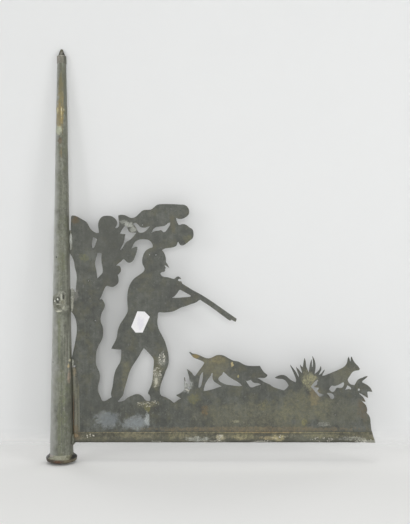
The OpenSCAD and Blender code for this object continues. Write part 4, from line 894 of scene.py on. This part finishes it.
pebble = add(growth, "GeometryNodeMeshIcoSphere", {"Radius": given["Size"], "Subdivisions": 2})
spread = add(growth, "FunctionNodeRandomValue", {0: (0.3, 0.1, 0.3), 1: (1.5, 0.3, 1.5),
    8: given["Seed"]}, data_type="FLOAT_VECTOR")
spin = add(growth, "FunctionNodeRandomValue", {0: (0, 0, 0), 1: (0, 6.28, 0), 8: given["Seed"]},
    data_type="FLOAT_VECTOR")
cushions = add(growth, "GeometryNodeInstanceOnPoints",
    {"Points": dots.outputs["Points"], "Selection": chosen, "Instance": pebble, "Rotation": spin,
    "Scale": spread})
delivered(growth, cushions, given, result)
print("lichen tree:", len(growth.nodes), "nodes")

# %% Lichen patches
# Cream and chalky, without any metal in it: dry growth, not paint.
lichen = old_zinc("dry lichen, cream crust", "#8d8a7e", "#b3b0a5", "#dcdad0", 3, 0, bump_mm=0.3,
    metallic=0, moss="#98946f", moss_share=0.25)
lichen_patches = {
    "silhouette_sheet": [
        (201, 206, 7, 13, 1), (192, 178, 9, 12, 2), (188, 160, 7, 10, 3), (158, 118, 6, 6, 4),
        (172, 115, 7, 5, 5), (188, 119, 9, 4, 6), (252, 150, 6, 10, 7)],
    "bottom_rail": [
        (57, 54, 8, 5, 17), (317, 50, 8, 6, 10), (435, 50, 15, 6, 11), (300, 43, 28, 3, 12),
        (400, 43, 20, 3, 13), (600, 44, 20, 4, 14), (190, 43, 16, 3, 15), (520, 46, 24, 4, 16)],
}
for node, patches in lichen_patches.items():
    grown = bmesh.new()
    for x, z, half_w, half_h, seed in patches:
        patch = grow("lichen patch", growth, plain_copy(node), Centre=mm(x, 0, z),
            Reach=(mm(half_w), 1, mm(half_h)), Seed=seed, Finish=lichen)
        grown.from_mesh(patch)
    crust = bpy.data.meshes.new("lichen on " + node)
    grown.to_mesh(crust)
    grown.free()
    crust.shade_smooth()
    crust.materials.clear()
    crust.materials.append(lichen)
    piece = placed("lichen_on_" + node, crust)
    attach(piece, "vane")
    print(piece.name, "has", len(crust.polygons), "faces")

# %% [markdown]
# ## Spindle, bearings and wires
# These work out of sight. The spindle is a drawn steel pipe with a turned point that carries the
# vane, the cup and the bush are brass, and iron wires stiffen the rolled edges. They get plain
# honest finishes, because they show from below and wherever a roll ends.


# %% Metals inside
def worked_metal(name, dark, pale, grain_mm, across, roughness, metallic=1.0):
    """A turned, drawn or rusted metal. across stretches the grain along the way it was worked."""
    skin, tree = blank_material(name)
    spot = add(tree, "ShaderNodeTexCoord").outputs["Object"]
    spot = add(tree, "ShaderNodeVectorMath", {0: spot, 1: across}, operation="MULTIPLY")
    lines = add(tree, "ShaderNodeTexNoise", {"Vector": spot, "Detail": 5,
        "Scale": 1 / mm(grain_mm)})
    hue = add(tree, "ShaderNodeValToRGB", {0: lines}, stops=[(0.35, colour(dark)),
        (0.65, colour(pale))])
    coated(tree, hue, roughness, lines, 0.05, 0.4, metallic)
    return skin


# Steel: cool grey, lines along the pipe, a dull greasy shine. Brass: yellow, rings from the lathe.
# Iron: red brown and rough all over. The real lines are finer. They are drawn as coarse as they
# need to show.
drawn_steel = worked_metal("drawn steel, greased", "#5d5e5e", "#8d8e8e", 1.5, (1, 1, 0.05), 0.4)
turned_brass = worked_metal("turned brass, dull", "#7d6432", "#b2934f", 0.8, (0.2, 0.2, 1), 0.35)
rusty_iron = worked_metal("rusty iron wire", "#3a2a20", "#6d4a32", 2, (1, 1, 1), 0.8, 0.2)
# Paler zinc without single marks, because no rain gets inside the spire.
cut_zinc = old_zinc("zinc plate, inside", "#6e6f68", "#83847c", "#96978f", 10, 0)
inside = (
    (drawn_steel, "spindle_steel", "spindle", ("spindle_pipe", "pivot_point")),
    (turned_brass, "brass", "vane", ("pivot_cup", "guide_bush")),
    (cut_zinc, "inner_zinc", "vane", ("pivot_bridge", "guide_plate")),
    (rusty_iron, "iron_wire", "vane", ("rim_wire", "edge_wire", "rail_wire")))
for finish, slot, body, nodes in inside:
    for node in nodes:
        dress(node, shaded(plain_copy(node)), finish, body)

# %% [markdown]
# ## The paper label
# A blank label of thin card is pasted on the hunter's coat. Paste never holds flat, so the card
# is cut into a fine grid and lifts at its corners.

# %% Label
FIBRE = 1.2              # real fibres are finer: they are drawn as coarse as they need to show
LIFT, WAVE = 0.9, 0.12   # how far the corners lift and how far the card waves, in mm
CORNER, WAVE_SIZE = 24, 9    # how far out a corner is and how wide a wave is, in mm
# Off-white and quite rough, so that it reads as the only thing here that isn't metal.
paper, tree = blank_material("uncoated paper, pasted")
spot = add(tree, "ShaderNodeTexCoord").outputs["Object"]
fibre = add(tree, "ShaderNodeTexNoise", {"Vector": spot, "Scale": 1 / mm(FIBRE), "Detail": 6,
    "Roughness": 0.7})
hue = add(tree, "ShaderNodeValToRGB", {0: fibre}, stops=[(0.3, colour("#d8d7d8")),
    (0.6, colour("#e6e5e6"))])
hue = with_stains_and_painted_light(tree, hue, on(FRONT, (158, 278, 8, 15, "#d3d1d9", 0.8, 0.3)))
coated(tree, hue, 0.85, fibre, 0.05, 0.3)

card = sliced(sliced(plain_copy("paper_label"), 0, 2), 2, 2)
low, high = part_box("paper_label")
centre = Vector(((low[0] + high[0]) / 2, 0, (low[2] + high[2]) / 2))
for vertex in card.vertices:
    far = Vector((vertex.co.x - centre.x, 0, vertex.co.z - centre.z)).length / mm(CORNER)
    vertex.co.y -= mm(LIFT) * far ** 4 + mm(WAVE) * noise.noise(vertex.co / mm(WAVE_SIZE))
dress("paper_label", shaded(card), paper)
